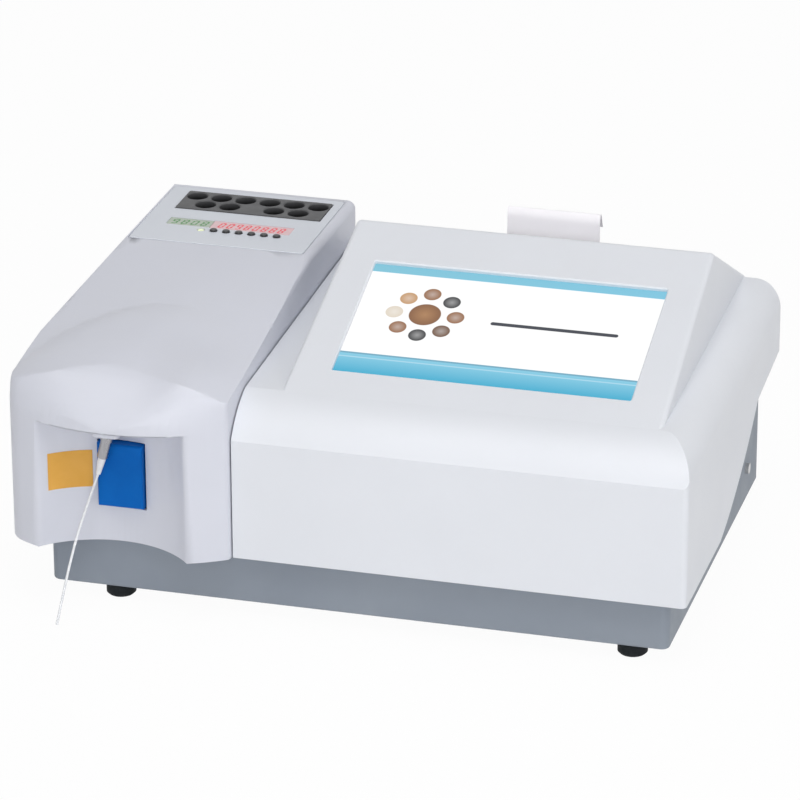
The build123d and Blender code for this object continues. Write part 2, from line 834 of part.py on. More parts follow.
foot_points = [
    (x, y)
    for x in (tray_x0 + foot_inset_left, tray_x1 - foot_inset_right)
    for y in (front_y + foot_setback, rear_y - foot_setback)
]
board_stands = corner_points(main_board_x, main_board_y, stand_inset)
supply_stands = corner_points(supply_x, supply_y, stand_inset)
bench_stands = corner_points(bench_x, bench_y, stand_inset)
foot_boss_height = 6.0
seam_slack = 0.5

with BuildPart() as base_tray:
    start, middle, knee, end = lower_edge(tray_lap)
    with BuildSketch(Plane.YZ.offset(tray_x0)):
        with BuildLine():
            Polyline((tray_y0, foot_height), (tray_y0, start[1]), start)
            ThreePointArc(start, middle, knee)
            Polyline(knee, (tray_y1, end[1]), (tray_y1, foot_height), (tray_y0, foot_height))
        make_face()
    extrude(amount=tray_x1 - tray_x0)
    front_edges = base_tray.edges().filter_by(Axis.Z).group_by(Axis.Y)[0]
    fillet(front_edges, tray_corner_radius)
    bottom_edges = base_tray.faces().sort_by(Axis.Z)[0].edges()
    bottom_edges = [edge for edge in bottom_edges if edge.center().Y < tray_y1 - 1]
    fillet(bottom_edges, 1.5)
    block(
        tray_x0 + tray_wall,
        tray_x1 - tray_wall,
        tray_y0 + tray_wall,
        tray_y1 + 1,
        floor_z,
        ridge_z,
        mode=Mode.SUBTRACT,
    )
    block(
        reader_x - wall - seam_slack,
        cover_x + wall + seam_slack,
        tray_y0 - 1,
        tray_y0 + tray_wall + 1,
        skirt_z - seam_slack,
        skirt_z + tray_lap + 1,
        mode=Mode.SUBTRACT,
    )
    for x, y in main_posts + reader_posts:
        rod((x, y, floor_z), (0, 0, 1), post_radius + 1.0, boss_height)
    for x, y in foot_points:
        rod((x, y, floor_z), (0, 0, 1), stand_radius, foot_boss_height)
    for x, y in board_stands:
        rod((x, y, floor_z), (0, 0, 1), stand_radius, board_stand_height)
    for x, y in supply_stands + bench_stands:
        rod((x, y, floor_z), (0, 0, 1), stand_radius, short_boss_height)
    for x, y in main_posts + reader_posts:
        rod(
            (x, y, foot_height - 1),
            (0, 0, 1),
            screw_radius + screw_clearance,
            boss_height + 9,
            mode=Mode.SUBTRACT,
        )
        rod((x, y, foot_height - 1), (0, 0, 1), screw_head_radius + 0.4, tray_wall + 3, mode=Mode.SUBTRACT)
    for x, y in foot_points:
        rod((x, y, foot_height - 1), (0, 0, 1), screw_radius, short_pilot, mode=Mode.SUBTRACT)
    for x, y in board_stands:
        rod((x, y, floor_z + board_stand_height), (0, 0, -1), screw_radius, short_pilot, mode=Mode.SUBTRACT)
    for x, y in supply_stands + bench_stands:
        rod((x, y, floor_z + short_boss_height), (0, 0, -1), screw_radius, short_pilot, mode=Mode.SUBTRACT)
    side_screw_z = foot_height + side_screw_height
    side_screw_y = rear_panel_y - rear_flange + 4
    for side_x in (tray_x0 - 1, tray_x1 - tray_wall - 1):
        rod((side_x, side_screw_y, side_screw_z), (1, 0, 0), screw_radius, tray_wall + 2, mode=Mode.SUBTRACT)
base_tray.part.label = "base_tray"
export_step(base_tray.part, "parts/base_tray.step")

with BuildPart() as cover_screws:
    for x, y in main_posts + reader_posts:
        seat = foot_height + tray_wall + 2
        rod((x, y, seat - screw_head_height), (0, 0, 1), screw_head_radius, screw_head_height)
        rod((x, y, seat), (0, 0, 1), screw_radius - screw_clearance, post_z - seat + post_pilot - 2)
cover_screws.part.label = "cover_screws"
export_step(cover_screws.part, "parts/cover_screws.step")

# Feet: turned rubber buttons with a sunk screw
foot_seat = 4.0
with BuildPart() as rubber_feet:
    for x, y in foot_points:
        rod((x, y, 0), (0, 0, 1), foot_radius, foot_height)
    chamfer(rubber_feet.edges().group_by(Axis.Z)[0], foot_edge)
    for x, y in foot_points:
        rod((x, y, -1), (0, 0, 1), screw_head_radius + 0.7, foot_seat + 1, mode=Mode.SUBTRACT)
        rod((x, y, 0), (0, 0, 1), screw_radius + screw_clearance, foot_height + 1, mode=Mode.SUBTRACT)
rubber_feet.part.label = "rubber_feet"
export_step(rubber_feet.part, "parts/rubber_feet.step")

# Rear panel with side flanges and its cut-outs
inlet_x = right_x - 50
switch_x = inlet_x - 46
fan_x = right_x - 150
serial_x = fan_x - 52
usb_x = serial_x - 34
waste_x = left_x + 70
rear_row_z = floor_z + 30
inlet_cut = (27.4, 19.8)
switch_cut = (19.4, 13.0)
fan_size = 40.0
fan_depth = 10.0
serial_cut = (17.4, 9.4)
usb_cut = (13.4, 5.8)
waste_radius = 4.0
rear_inner_y = rear_panel_y - panel_sheet
rear_top_z = skirt_z + rear_skirt_height + 4
rear_plane = Plane(origin=(0, rear_panel_y, 0), x_dir=(1, 0, 0), z_dir=(0, -1, 0))
with BuildPart() as rear_panel:
    rear_x0 = tray_x0 + tray_wall
    rear_x1 = tray_x1 - tray_wall
    block(rear_x0, rear_x1, rear_inner_y, rear_panel_y, floor_z, rear_top_z)
    for flange_x in (rear_x0, rear_x1 - panel_sheet):
        block(
            flange_x, flange_x + panel_sheet, rear_panel_y - rear_flange, rear_inner_y, floor_z, floor_z + 36,
        )
    for x, (cut_x, cut_z) in (
        (inlet_x, inlet_cut),
        (switch_x, switch_cut),
        (serial_x, serial_cut),
        (usb_x, usb_cut),
    ):
        block(
            x - cut_x / 2,
            x + cut_x / 2,
            rear_inner_y - 1,
            rear_panel_y + 1,
            rear_row_z - cut_z / 2,
            rear_row_z + cut_z / 2,
            mode=Mode.SUBTRACT,
        )
    for slot in range(6):
        slot_z = rear_row_z + (slot - 2.5) * 5.6
        reach = sqrt((fan_size / 2 - 2) ** 2 - (slot_z - rear_row_z) ** 2)
        with BuildSketch(rear_plane.offset(1)) as vent:
            with Locations((fan_x, slot_z)):
                SlotOverall(2 * reach, 3.2)
        extrude(vent.sketch, amount=-panel_sheet - 2, mode=Mode.SUBTRACT)
    rod(
        (waste_x, rear_panel_y + 1, rear_row_z),
        (0, -1, 0),
        waste_radius + 0.1,
        panel_sheet + 2,
        mode=Mode.SUBTRACT,
    )
    seam_notch = 6.0
    block(
        reader_x - seam_notch,
        cover_x + seam_notch,
        rear_inner_y - 1,
        rear_panel_y + 1,
        rear_top_z - 8,
        rear_top_z + 1,
        mode=Mode.SUBTRACT,
    )
    for flange_x in (rear_x0 - 1, rear_x1 - panel_sheet - 1):
        rod(
            (flange_x, side_screw_y, side_screw_z),
            (1, 0, 0),
            screw_radius,
            panel_sheet + 2,
            mode=Mode.SUBTRACT,
        )
rear_panel.part.label = "rear_panel"
export_step(rear_panel.part, "parts/rear_panel.step")

# Mains inlet with its three blades
inlet_flange = 2.5
with BuildPart() as power_inlet:
    block(
        inlet_x - 15,
        inlet_x + 15,
        rear_panel_y,
        rear_panel_y + inlet_flange,
        rear_row_z - 11.5,
        rear_row_z + 11.5,
    )
    block(
        inlet_x - inlet_cut[0] / 2,
        inlet_x + inlet_cut[0] / 2,
        rear_panel_y - 20,
        rear_panel_y,
        rear_row_z - inlet_cut[1] / 2,
        rear_row_z + inlet_cut[1] / 2,
    )
    block(
        inlet_x - 12,
        inlet_x + 12,
        rear_panel_y - 15,
        rear_panel_y + inlet_flange + 1,
        rear_row_z - 7.8,
        rear_row_z + 7.8,
        mode=Mode.SUBTRACT,
    )
    for blade_x, blade_z in ((-7, -2.0), (0, 2.0), (7, -2.0)):
        block(
            inlet_x + blade_x - 1,
            inlet_x + blade_x + 1,
            rear_panel_y - 15.5,
            rear_panel_y - 1,
            rear_row_z + blade_z - 2,
            rear_row_z + blade_z + 2,
        )
power_inlet.part.label = "power_inlet"
export_step(power_inlet.part, "parts/power_inlet.step")

# Power switch: housing and rocker, which tips about an upright pin
rocker_half = 8.0
rocker_height = 9.6
rocker_tilt = 10.0
rocker_pivot_y = rear_panel_y - 1.5
rocker_pin_radius = 0.9
with BuildPart() as power_switch:
    block(
        switch_x - 10.5, switch_x + 10.5, rear_panel_y, rear_panel_y + 1.5, rear_row_z - 7.5, rear_row_z + 7.5,
    )
    block(
        switch_x - switch_cut[0] / 2,
        switch_x + switch_cut[0] / 2,
        rear_panel_y - 14,
        rear_panel_y,
        rear_row_z - switch_cut[1] / 2,
        rear_row_z + switch_cut[1] / 2,
    )
    cavity_z = rocker_height / 2 + 0.2
    block(
        switch_x - rocker_half - 0.9,
        switch_x + rocker_half + 0.9,
        rear_panel_y - 7.5,
        rear_panel_y + 2.5,
        rear_row_z - cavity_z,
        rear_row_z + cavity_z,
        mode=Mode.SUBTRACT,
    )
    rod(
        (switch_x, rocker_pivot_y, rear_row_z - cavity_z - 1.0),
        (0, 0, 1),
        rocker_pin_radius + running_gap,
        2 * cavity_z + 2.0,
        mode=Mode.SUBTRACT,
    )
power_switch.part.label = "power_switch"
export_step(power_switch.part, "parts/power_switch.step")

with BuildPart() as power_rocker:
    rocker_plane = Plane(
        origin=(switch_x, rocker_pivot_y, rear_row_z - rocker_height / 2),
        x_dir=(cos(radians(rocker_tilt)), -sin(radians(rocker_tilt)), 0),
        z_dir=(0, 0, 1),
    )
    rise = rocker_half * tan(radians(rocker_tilt))
    with BuildSketch(rocker_plane):
        with BuildLine():
            Polyline(
                (-rocker_half, -2.5),
                (rocker_half, -2.5),
                (rocker_half, 2.2 + rise),
                (0, 2.2),
                (-rocker_half, 2.2 + rise),
                close=True,
            )
        make_face()
    extrude(amount=rocker_height)
    rod(
        (switch_x, rocker_pivot_y, rear_row_z - rocker_height / 2 - 0.8),
        (0, 0, 1),
        rocker_pin_radius,
        rocker_height + 1.6,
    )
power_rocker.part.label = "power_rocker"
export_step(power_rocker.part, "parts/power_rocker.step")

# Cooling fan behind the vent slots
fan_low_y = rear_inner_y - fan_depth
blade_count = 7
with BuildPart() as fan_frame:
    block(
        fan_x - fan_size / 2,
        fan_x + fan_size / 2,
        fan_low_y,
        rear_inner_y,
        rear_row_z - fan_size / 2,
        rear_row_z + fan_size / 2,
    )
    rod((fan_x, fan_low_y - 1, rear_row_z), (0, 1, 0), fan_size / 2 - 1.4, fan_depth + 2, mode=Mode.SUBTRACT)
    block(
        fan_x - fan_size / 2 + 1,
        fan_x + fan_size / 2 - 1,
        fan_low_y,
        fan_low_y + 1.5,
        rear_row_z - 1.5,
        rear_row_z + 1.5,
    )
    block(
        fan_x - 1.5,
        fan_x + 1.5,
        fan_low_y,
        fan_low_y + 1.5,
        rear_row_z - fan_size / 2 + 1,
        rear_row_z + fan_size / 2 - 1,
    )
    rod((fan_x, fan_low_y, rear_row_z), (0, 1, 0), 8.0, 1.5)
    rod((fan_x, fan_low_y - 1, rear_row_z), (0, 1, 0), 1.0 + running_gap, 4, mode=Mode.SUBTRACT)
fan_frame.part.label = "fan_frame"
export_step(fan_frame.part, "parts/fan_frame.step")

with BuildPart() as fan_rotor:
    rod((fan_x, fan_low_y + 2.0, rear_row_z), (0, 1, 0), 8.0, fan_depth - 3.0)
    rod((fan_x, fan_low_y + 0.2, rear_row_z), (0, 1, 0), 1.0, 2.5)
    for blade in range(blade_count):
        turn = 360 * blade / blade_count
        outward = Vector(cos(radians(turn)), 0, sin(radians(turn)))
        base = Vector(fan_x, fan_low_y + 2.2 + (fan_depth - 3.4) / 2, rear_row_z) + outward * 7.0
        along = Vector(0, 1, 0).rotate(Axis((0, 0, 0), outward), 40)
        blade_plane = Plane(origin=base, x_dir=along, z_dir=outward)
        with BuildSketch(blade_plane) as section:
            Rectangle(7.4, 1.0)
        extrude(section.sketch, amount=fan_size / 2 - 1.4 - 7.0 - 0.8)
fan_rotor.part.label = "fan_rotor"
export_step(fan_rotor.part, "parts/fan_rotor.step")

# Signal sockets and the waste outlet
shell_depth = 4.0
with BuildPart() as data_ports:
    block(
        serial_x - 15.5, serial_x + 15.5, rear_inner_y - 8, rear_inner_y, rear_row_z - 6.2, rear_row_z + 6.2,
    )
    with BuildSketch(rear_plane.offset(-shell_depth)) as shell:
        with Locations((serial_x, rear_row_z)):
            Trapezoid(serial_cut[0] - 0.4, serial_cut[1] - 1.2, 80, rotation=180)
    extrude(shell.sketch, amount=shell_depth + panel_sheet)
    with BuildSketch(rear_plane.offset(-shell_depth - 1)) as shell:
        with Locations((serial_x, rear_row_z)):
            Trapezoid(serial_cut[0] - 1.8, serial_cut[1] - 2.6, 80, rotation=180)
    extrude(shell.sketch, amount=shell_depth + 1, mode=Mode.SUBTRACT)
    block(usb_x - 7.2, usb_x + 7.2, rear_inner_y - 14, rear_inner_y, rear_row_z - 3.6, rear_row_z + 3.6)
    block(usb_x - 6.5, usb_x + 6.5, rear_inner_y, rear_panel_y + 0.5, rear_row_z - 2.7, rear_row_z + 2.7)
    block(
        usb_x - 6.1, usb_x + 6.1, rear_inner_y - 9, rear_panel_y + 1, rear_row_z - 2.3, rear_row_z + 2.3, mode=Mode.SUBTRACT
    )
    block(
        usb_x - 5.6, usb_x + 5.6, rear_inner_y - 9.5, rear_panel_y - 0.5, rear_row_z - 0.2, rear_row_z + 1.4,
    )
data_ports.part.label = "data_ports"
export_step(data_ports.part, "parts/data_ports.step")

with BuildPart() as waste_outlet:
    rod((waste_x, rear_panel_y - 8, rear_row_z), (0, 1, 0), waste_radius, 8)
    rod((waste_x, rear_panel_y, rear_row_z), (0, 1, 0), waste_radius + 2, 1.5)
    rod((waste_x, rear_panel_y, rear_row_z), (0, 1, 0), 2.4, rear_recess + 1.0)
    rod((waste_x, rear_panel_y - 10, rear_row_z), (0, 1, 0), 1.4, rear_recess + 13, mode=Mode.SUBTRACT)
waste_outlet.part.label = "waste_outlet"
export_step(waste_outlet.part, "parts/waste_outlet.step")

# Printer: bucket under the rear slope, lid, pin, platen, head, roll and paper
printer_inner = printer_width / 2 - printer_wall
ledge_top = printer_rim - lid_thickness - 0.05
lid_barrel_radius = lid_thickness
paper_s = printer_start + printer_wall + 2.6
platen_gap = 0.15
platen_s = paper_s + paper_thickness + platen_gap + platen_radius
platen_out = -9.0
platen_shaft_radius = 1.5
roll_s = printer_mid + 3.0
roll_out = roll_radius + 2.5 + printer_wall - printer_depth
stub_radius = core_radius - 0.08
flange_width = 3.0
with BuildPart() as printer_frame:
    plate_on(slope_plane, printer_width, printer_length, -printer_depth, printer_rim, centre=(0, printer_mid))
    plate_on(
        slope_plane,
        printer_width + 2 * flange_width,
        printer_length + 2 * flange_width,
        -wall - 1.5,
        -wall,
        centre=(0, printer_mid),
    )
    plate_on(
        slope_plane,
        2 * printer_inner,
        printer_length - 2 * printer_wall,
        printer_wall - printer_depth,
        1,
        centre=(0, printer_mid),
        mode=Mode.SUBTRACT,
    )
    for side in (-1, 1):
        ledge_length = lid_axis[0] - lid_front - 2 * lid_barrel_radius
        plate_on(
            slope_plane,
            2.0,
            ledge_length,
            ledge_top - 2,
            ledge_top,
            centre=(side * (printer_inner - 1), lid_front + ledge_length / 2),
        )
        wall_start = side * (printer_inner - 8.5)
        rod(
            slope_point(wall_start, roll_s, roll_out),
            (side, 0, 0),
            stub_radius,
            8.5 + printer_wall / 2,
        )
        outside = side * (printer_width / 2 + 1)
        rod(
            slope_point(outside, lid_axis[0], lid_axis[1]),
            (-side, 0, 0),
            lid_pin_radius + 0.01,
            printer_wall + 2,
            mode=Mode.SUBTRACT,
        )
        rod(
            slope_point(outside, platen_s, platen_out),
            (-side, 0, 0),
            platen_shaft_radius + running_gap,
            printer_wall + 2,
            mode=Mode.SUBTRACT,
        )
printer_frame.part.label = "printer_frame"
export_step(printer_frame.part, "parts/printer_frame.step")

with BuildPart() as printer_lid:
    lid_length = lid_axis[0] - lid_front
    plate_on(
        slope_plane,
        lid_width,
        lid_length,
        printer_rim - lid_thickness,
        printer_rim,
        centre=(0, lid_front + lid_length / 2),
    )
    front_point = slope_point(0, lid_front, 0)
    front_rim = printer_lid.edges().filter_by(Axis.X).sort_by(lambda edge: edge.distance_to(front_point))
    chamfer(front_rim[0], 0.8)
    rod(slope_point(-lid_width / 2, *lid_axis), (1, 0, 0), lid_barrel_radius, lid_width)
    plate_on(
        slope_plane,
        lid_width - 14,
        2.0,
        ledge_top - 3,
        printer_rim - lid_thickness,
        centre=(0, lid_front + 9),
    )
    for place in range(5):
        groove_s = lid_front + 6 + 2.2 * place
        plate_on(
            slope_plane, 22, 0.9, printer_rim - 0.6, printer_rim + 1, centre=(0, groove_s), mode=Mode.SUBTRACT,
        )
    rod(
        slope_point(-printer_width, *lid_axis),
        (1, 0, 0),
        lid_pin_radius + running_gap,
        2 * printer_width,
        mode=Mode.SUBTRACT,
    )
printer_lid.part.label = "printer_lid"
export_step(printer_lid.part, "parts/printer_lid.step")

with BuildPart() as printer_hinge_pin:
    rod(slope_point(0.5 - printer_width / 2, *lid_axis), (1, 0, 0), lid_pin_radius, printer_width - 1)
printer_hinge_pin.part.label = "printer_hinge_pin"
export_step(printer_hinge_pin.part, "parts/printer_hinge_pin.step")

with BuildPart() as platen_roller:
    rod(slope_point(-29, platen_s, platen_out), (1, 0, 0), platen_radius, 58)
    rod(
        slope_point(0.5 - printer_width / 2, platen_s, platen_out),
        (1, 0, 0),
        platen_shaft_radius,
        printer_width - 1,
    )
platen_roller.part.label = "platen_roller"
export_step(platen_roller.part, "parts/platen_roller.step")

with BuildPart() as print_head:
    head_back = printer_start + printer_wall
    plate_on(slope_plane, 62, paper_s - 0.2 - head_back, -15, -4, centre=(0, (head_back + paper_s - 0.2) / 2))
print_head.part.label = "print_head"
export_step(print_head.part, "parts/print_head.step")

with BuildPart() as paper_roll:
    rod(slope_point(-paper_width / 2, roll_s, roll_out), (1, 0, 0), roll_radius, paper_width)
    rod(
        slope_point(-paper_width, roll_s, roll_out),
        (1, 0, 0),
        core_radius,
        2 * paper_width,
        mode=Mode.SUBTRACT,
    )
paper_roll.part.label = "paper_roll"
export_step(paper_roll.part, "parts/paper_roll.step")

# Printed strip: up between head and platen, out of the slot and folded back over the lid
strip_mid_s = paper_s + paper_thickness / 2
strip_low = -15.0
strip_entry = slope_point(0, strip_mid_s, strip_low)
strip_exit = slope_point(0, strip_mid_s, 0)
curl_points = [(1.4, 5.0), (1.9, 12.0), (2.4, 18.0), (3.9, 19.8), (5.5, 18.2), (9.3, 10.0)]
strip_path = [(strip_exit.Y + dy, strip_exit.Z + dz) for dy, dz in curl_points]
with BuildPart() as paper_strip:
    with BuildLine() as strip_line:
        Line((0, strip_entry.Y, strip_entry.Z), (0, strip_exit.Y, strip_exit.Z))
        Spline(
            (0, strip_exit.Y, strip_exit.Z),
            *[(0, y, z) for y, z in strip_path],
            tangents=(slope_plane.z_dir, Vector(0, 0.42, -0.91)),
        )
    strip_width_dir = Vector(1, 0, 0)
    strip_start = Plane(origin=strip_entry, x_dir=strip_width_dir, z_dir=slope_plane.z_dir)
    with BuildSketch(strip_start):
        Rectangle(paper_width, paper_thickness)
    sweep(path=strip_line.wires()[0])
paper_strip.part.label = "paper_strip"
export_step(paper_strip.part, "parts/paper_strip.step")

# Trigger plate: rounded shell that tips about a pin behind the recess wall
trigger_low = trigger_mid_z - trigger_height / 2
trigger_high = trigger_mid_z + trigger_height / 2
lug_radius = 5.0
rib_z = trigger_axis_z - 20.0
switch_front_y = trigger_axis_y - 1.0
switch_depth = 7.0
plunger_out = 2.2
plunger_tip_y = switch_front_y - plunger_out
touch_gap = 0.3
trigger_half = trigger_width / 2
with BuildPart() as trigger_plate:
    block(
        trigger_x - trigger_half, trigger_x + trigger_half, trigger_front_y, trigger_back_y, trigger_low, trigger_high
    )
    fillet(trigger_plate.faces().sort_by(Axis.Y)[0].edges(), 1.5)
    block(
        trigger_x - trigger_half + trigger_shell,
        trigger_x + trigger_half - trigger_shell,
        trigger_front_y + trigger_shell,
        trigger_back_y + 1,
        trigger_low + trigger_shell,
        trigger_high - trigger_shell,
        mode=Mode.SUBTRACT,
    )
    for side in (-1, 1):
        lug_x = trigger_x + side * trigger_half - (trigger_shell if side > 0 else 0)
        block(
            lug_x,
            lug_x + trigger_shell,
            trigger_back_y - 3,
            trigger_axis_y,
            trigger_axis_z - lug_radius,
            trigger_axis_z + lug_radius,
        )
        rod((lug_x, trigger_axis_y, trigger_axis_z), (1, 0, 0), lug_radius, trigger_shell)
    block(
        trigger_x - 1.5, trigger_x + 1.5, trigger_front_y + 1, plunger_tip_y - touch_gap, rib_z - 3, rib_z + 3,
    )
    rod(
        (trigger_x - trigger_width, trigger_axis_y, trigger_axis_z),
        (1, 0, 0),
        trigger_pin_radius + running_gap,
        2 * trigger_width,
        mode=Mode.SUBTRACT,
    )
trigger_plate.part.label = "trigger_plate"
export_step(trigger_plate.part, "parts/trigger_plate.step")

arm_gap = 1.5
arm_sheet = 2.0
arm_in = trigger_half + arm_gap
arm_out = arm_in + arm_sheet
bracket_back_y = switch_front_y + switch_depth
bracket_low = rib_z - 10
bracket_high = trigger_axis_z + lug_radius
with BuildPart() as trigger_bracket:
    block(
        trigger_x - arm_out,
        trigger_x + arm_out,
        bracket_seat_y,
        bracket_back_y + arm_sheet,
        bracket_low,
        bracket_high,
    )
    block(
        trigger_x - arm_in,
        trigger_x + arm_in,
        bracket_seat_y - 1,
        bracket_back_y,
        bracket_low - 1,
        bracket_high + 1,
        mode=Mode.SUBTRACT,
    )
    tab_reach = bracket_boss_x + bracket_boss_radius
    for side in (-1, 1):
        tab_x = sorted((trigger_x + side * arm_out, trigger_x + side * tab_reach))
        tab_half = bracket_boss_radius + 1
        block(
            *tab_x, bracket_seat_y, bracket_seat_y + 1.5, trigger_axis_z - tab_half, trigger_axis_z + tab_half,
        )
        rod(
            (trigger_x + side * bracket_boss_x, bracket_seat_y - 1, trigger_axis_z),
            (0, 1, 0),
            screw_radius,
            4,
            mode=Mode.SUBTRACT,
        )
    rod(
        (trigger_x - trigger_width, trigger_axis_y, trigger_axis_z),
        (1, 0, 0),
        trigger_pin_radius + 0.01,
        2 * trigger_width,
        mode=Mode.SUBTRACT,
    )
    block(
        trigger_x - 8, trigger_x + 8, bracket_back_y - 1, bracket_back_y + arm_sheet + 1, rib_z - 4, rib_z + 4,
        mode=Mode.SUBTRACT,
    )
trigger_bracket.part.label = "trigger_bracket"
export_step(trigger_bracket.part, "parts/trigger_bracket.step")

with BuildPart() as trigger_pin:
    rod((trigger_x - arm_out, trigger_axis_y, trigger_axis_z), (1, 0, 0), trigger_pin_radius, 2 * arm_out)
trigger_pin.part.label = "trigger_pin"
export_step(trigger_pin.part, "parts/trigger_pin.step")

switch_plunger_radius = 1.0
with BuildPart() as trigger_switch:
    block(trigger_x - 10, trigger_x + 10, switch_front_y, bracket_back_y, rib_z - 5, rib_z + 5)
    for lead in (-6, 0, 6):
        block(
            trigger_x + lead - 1.5,
            trigger_x + lead + 1.5,
            bracket_back_y,
            bracket_back_y + 5,
            rib_z - 0.4,
            rib_z + 0.4,
        )
    rod(
        (trigger_x, switch_front_y - 1, rib_z),
        (0, 1, 0),
        switch_plunger_radius + running_gap,
        switch_depth - 1,
        mode=Mode.SUBTRACT,
    )
trigger_switch.part.label = "trigger_switch"
export_step(trigger_switch.part, "parts/trigger_switch.step")

with BuildPart() as trigger_plunger:
    rod((trigger_x, plunger_tip_y, rib_z), (0, 1, 0), switch_plunger_radius, plunger_out + 3)
trigger_plunger.part.label = "trigger_plunger"
export_step(trigger_plunger.part, "parts/trigger_plunger.step")

# Aspiration nozzle under the ceiling of the recess, its clear tip and the sample tube
nozzle_top = Vector(trigger_x - 3.7, nose_y + 16, recess_z - 6.5)
nozzle_drop = 26.3
nozzle_lean = atan(6.8 / 25.8)
nozzle_axis = Vector(-sin(nozzle_lean), 0, -cos(nozzle_lean))
metal_length = 15.5
tube_radius = 0.75
tip_length = nozzle_drop - metal_length
tip_end = nozzle_top + nozzle_axis * nozzle_drop
mount_half = (8.0, 6.5)
with BuildPart() as nozzle_mount:
    block(
        nozzle_top.X - mount_half[0],
        nozzle_top.X + mount_half[0],
        nozzle_top.Y - mount_half[1],
        nozzle_top.Y + mount_half[1],
        nozzle_top.Z,
        recess_z,
    )
    fillet(nozzle_mount.edges().filter_by(Axis.Z), 3.0)
    rod(nozzle_top + nozzle_axis * 2, -nozzle_axis, 2.2, 6.5, mode=Mode.SUBTRACT)
nozzle_mount.part.label = "nozzle_mount"
export_step(nozzle_mount.part, "parts/nozzle_mount.step")

nozzle_plane = Plane(origin=nozzle_top, z_dir=nozzle_axis)
with BuildPart() as aspiration_nozzle:
    rod(nozzle_top - nozzle_axis * 3.5, nozzle_axis, 2.1, 5.5)
    rod(nozzle_top + nozzle_axis * 1.2, nozzle_axis, 3.8, 2.8)
    rod(nozzle_top + nozzle_axis * 4.0, nozzle_axis, 3.2, metal_length - 4.0)
    chamfer(aspiration_nozzle.faces().sort_by(Axis.Z)[0].edges(), 0.5)
    rod(nozzle_top - nozzle_axis * 5, nozzle_axis, 0.8, metal_length + 8, mode=Mode.SUBTRACT)
aspiration_nozzle.part.label = "aspiration_nozzle"
export_step(aspiration_nozzle.part, "parts/aspiration_nozzle.step")

with BuildPart() as nozzle_tip:
    with BuildSketch(nozzle_plane.offset(metal_length)):
        Circle(2.5)
    with BuildSketch(nozzle_plane.offset(nozzle_drop)):
        Circle(1.5)
    loft()
    rod(
        nozzle_top + nozzle_axis * (metal_length - 1),
        nozzle_axis,
        tube_radius,
        tip_length + 2,
        mode=Mode.SUBTRACT,
    )
nozzle_tip.part.label = "nozzle_tip"
export_step(nozzle_tip.part, "parts/nozzle_tip.step")

# Sample tube: straight runs with tangent bends between them, its free end just above the floor
tube_steps = [(0.0, 0.0, 0.0), (-5.7, -3.0, -18.1), (-10.9, -9.0, -36.3), (-15.0, -19.0, -61.0)]
tube_end = (tip_end.X - 18.1, tip_end.Y - 28.4, 2.9)
tube_route = [tuple(tip_end + Vector(*step)) for step in tube_steps] + [tube_end]


def bend_radii(route, share=0.45):
    """Radius of the tangent arc at each inner point of a route."""
    radii = []
    for before, at, after in zip(route, route[1:], route[2:]):
        run_in = Vector(*at) - Vector(*before)
        run_out = Vector(*after) - Vector(*at)
        turn = radians(run_in.get_angle(run_out))
        radii.append(share * min(run_in.length, run_out.length) / tan(turn / 2))
    return radii


tube_radii = bend_radii(tube_route)
print("bend radii of the sample tube", [round(radius, 1) for radius in tube_radii])
with BuildPart() as aspiration_tube:
    with BuildLine() as tube_line:
        FilletPolyline(*tube_route, radius=tube_radii)
    tube_wire = tube_line.wires()[0]
    with BuildSketch(Plane(origin=tube_wire @ 0, z_dir=tube_wire % 0)):
        Circle(tube_radius)
    sweep(path=tube_wire)
tube_expected = tube_wire.length * 3.14159 * tube_radius ** 2
print("sample tube volume", round(aspiration_tube.part.volume, 2), "expected", round(tube_expected, 2))
aspiration_tube.part.label = "aspiration_tube"
export_step(aspiration_tube.part, "parts/aspiration_tube.step")

# Plain square sticker that follows the recess wall
sticker_x = left_x + 38.7
sticker_half = 11.5
sticker_mid_z = skirt_z + 45.5
sticker_z = (sticker_mid_z - sticker_half, sticker_mid_z + sticker_half)
sticker_thickness = 0.3
with BuildPart() as front_sticker:
    rod((recess_x, recess_axis_y, sticker_z[0]), (0, 0, 1), recess_radius, sticker_z[1] - sticker_z[0])
    rod(
        (recess_x, recess_axis_y, sticker_z[0] - 1),
        (0, 0, 1),
        recess_radius - sticker_thickness,
        sticker_z[1] - sticker_z[0] + 2,
        mode=Mode.SUBTRACT,
    )
    block(
        sticker_x - sticker_half,
        sticker_x + sticker_half,
        nose_y,
        recess_wall_y + 1,
        *sticker_z,
        mode=Mode.INTERSECT,
    )
front_sticker.part.label = "front_sticker"
export_step(front_sticker.part, "parts/front_sticker.step")

# Main board and open-frame power supply on the tray's stands
board_z = floor_z + board_stand_height
board_top_z = board_z + board_thickness
board_mid = (sum(main_board_x) / 2, sum(main_board_y) / 2)
with BuildPart() as main_board:
    block(*main_board_x, *main_board_y, board_z, board_top_z)
    for x, y in board_stands:
        rod((x, y, board_z - 1), (0, 0, 1), screw_radius, board_thickness + 2, mode=Mode.SUBTRACT)
    plate_on(Plane.XY, 34, 34, board_top_z, board_top_z + 2.4, centre=board_mid)
    for fin in range(6):
        fin_x = board_mid[0] + (fin - 2.5) * 5.6
        plate_on(Plane.XY, 1.4, 32, board_top_z + 2.4, board_top_z + 12, centre=(fin_x, board_mid[1]))
    for chip in range(4):
        plate_on(
            Plane.XY,
            11,
            20,
            board_top_z,
            board_top_z + 1.2,
            centre=(board_mid[0] - 52 + 14 * chip, board_mid[1] - 34),
        )
    for plug in range(5):
        plug_centre = (board_mid[0] - 48 + 20 * plug, main_board_y[1] - 5)
        plate_on(Plane.XY, 14, 6, board_top_z, board_top_z + 7, centre=plug_centre)
    for can in range(4):
        rod((board_mid[0] + 38, board_mid[1] - 33 + 15 * can, board_top_z), (0, 0, 1), 4.0, 11)
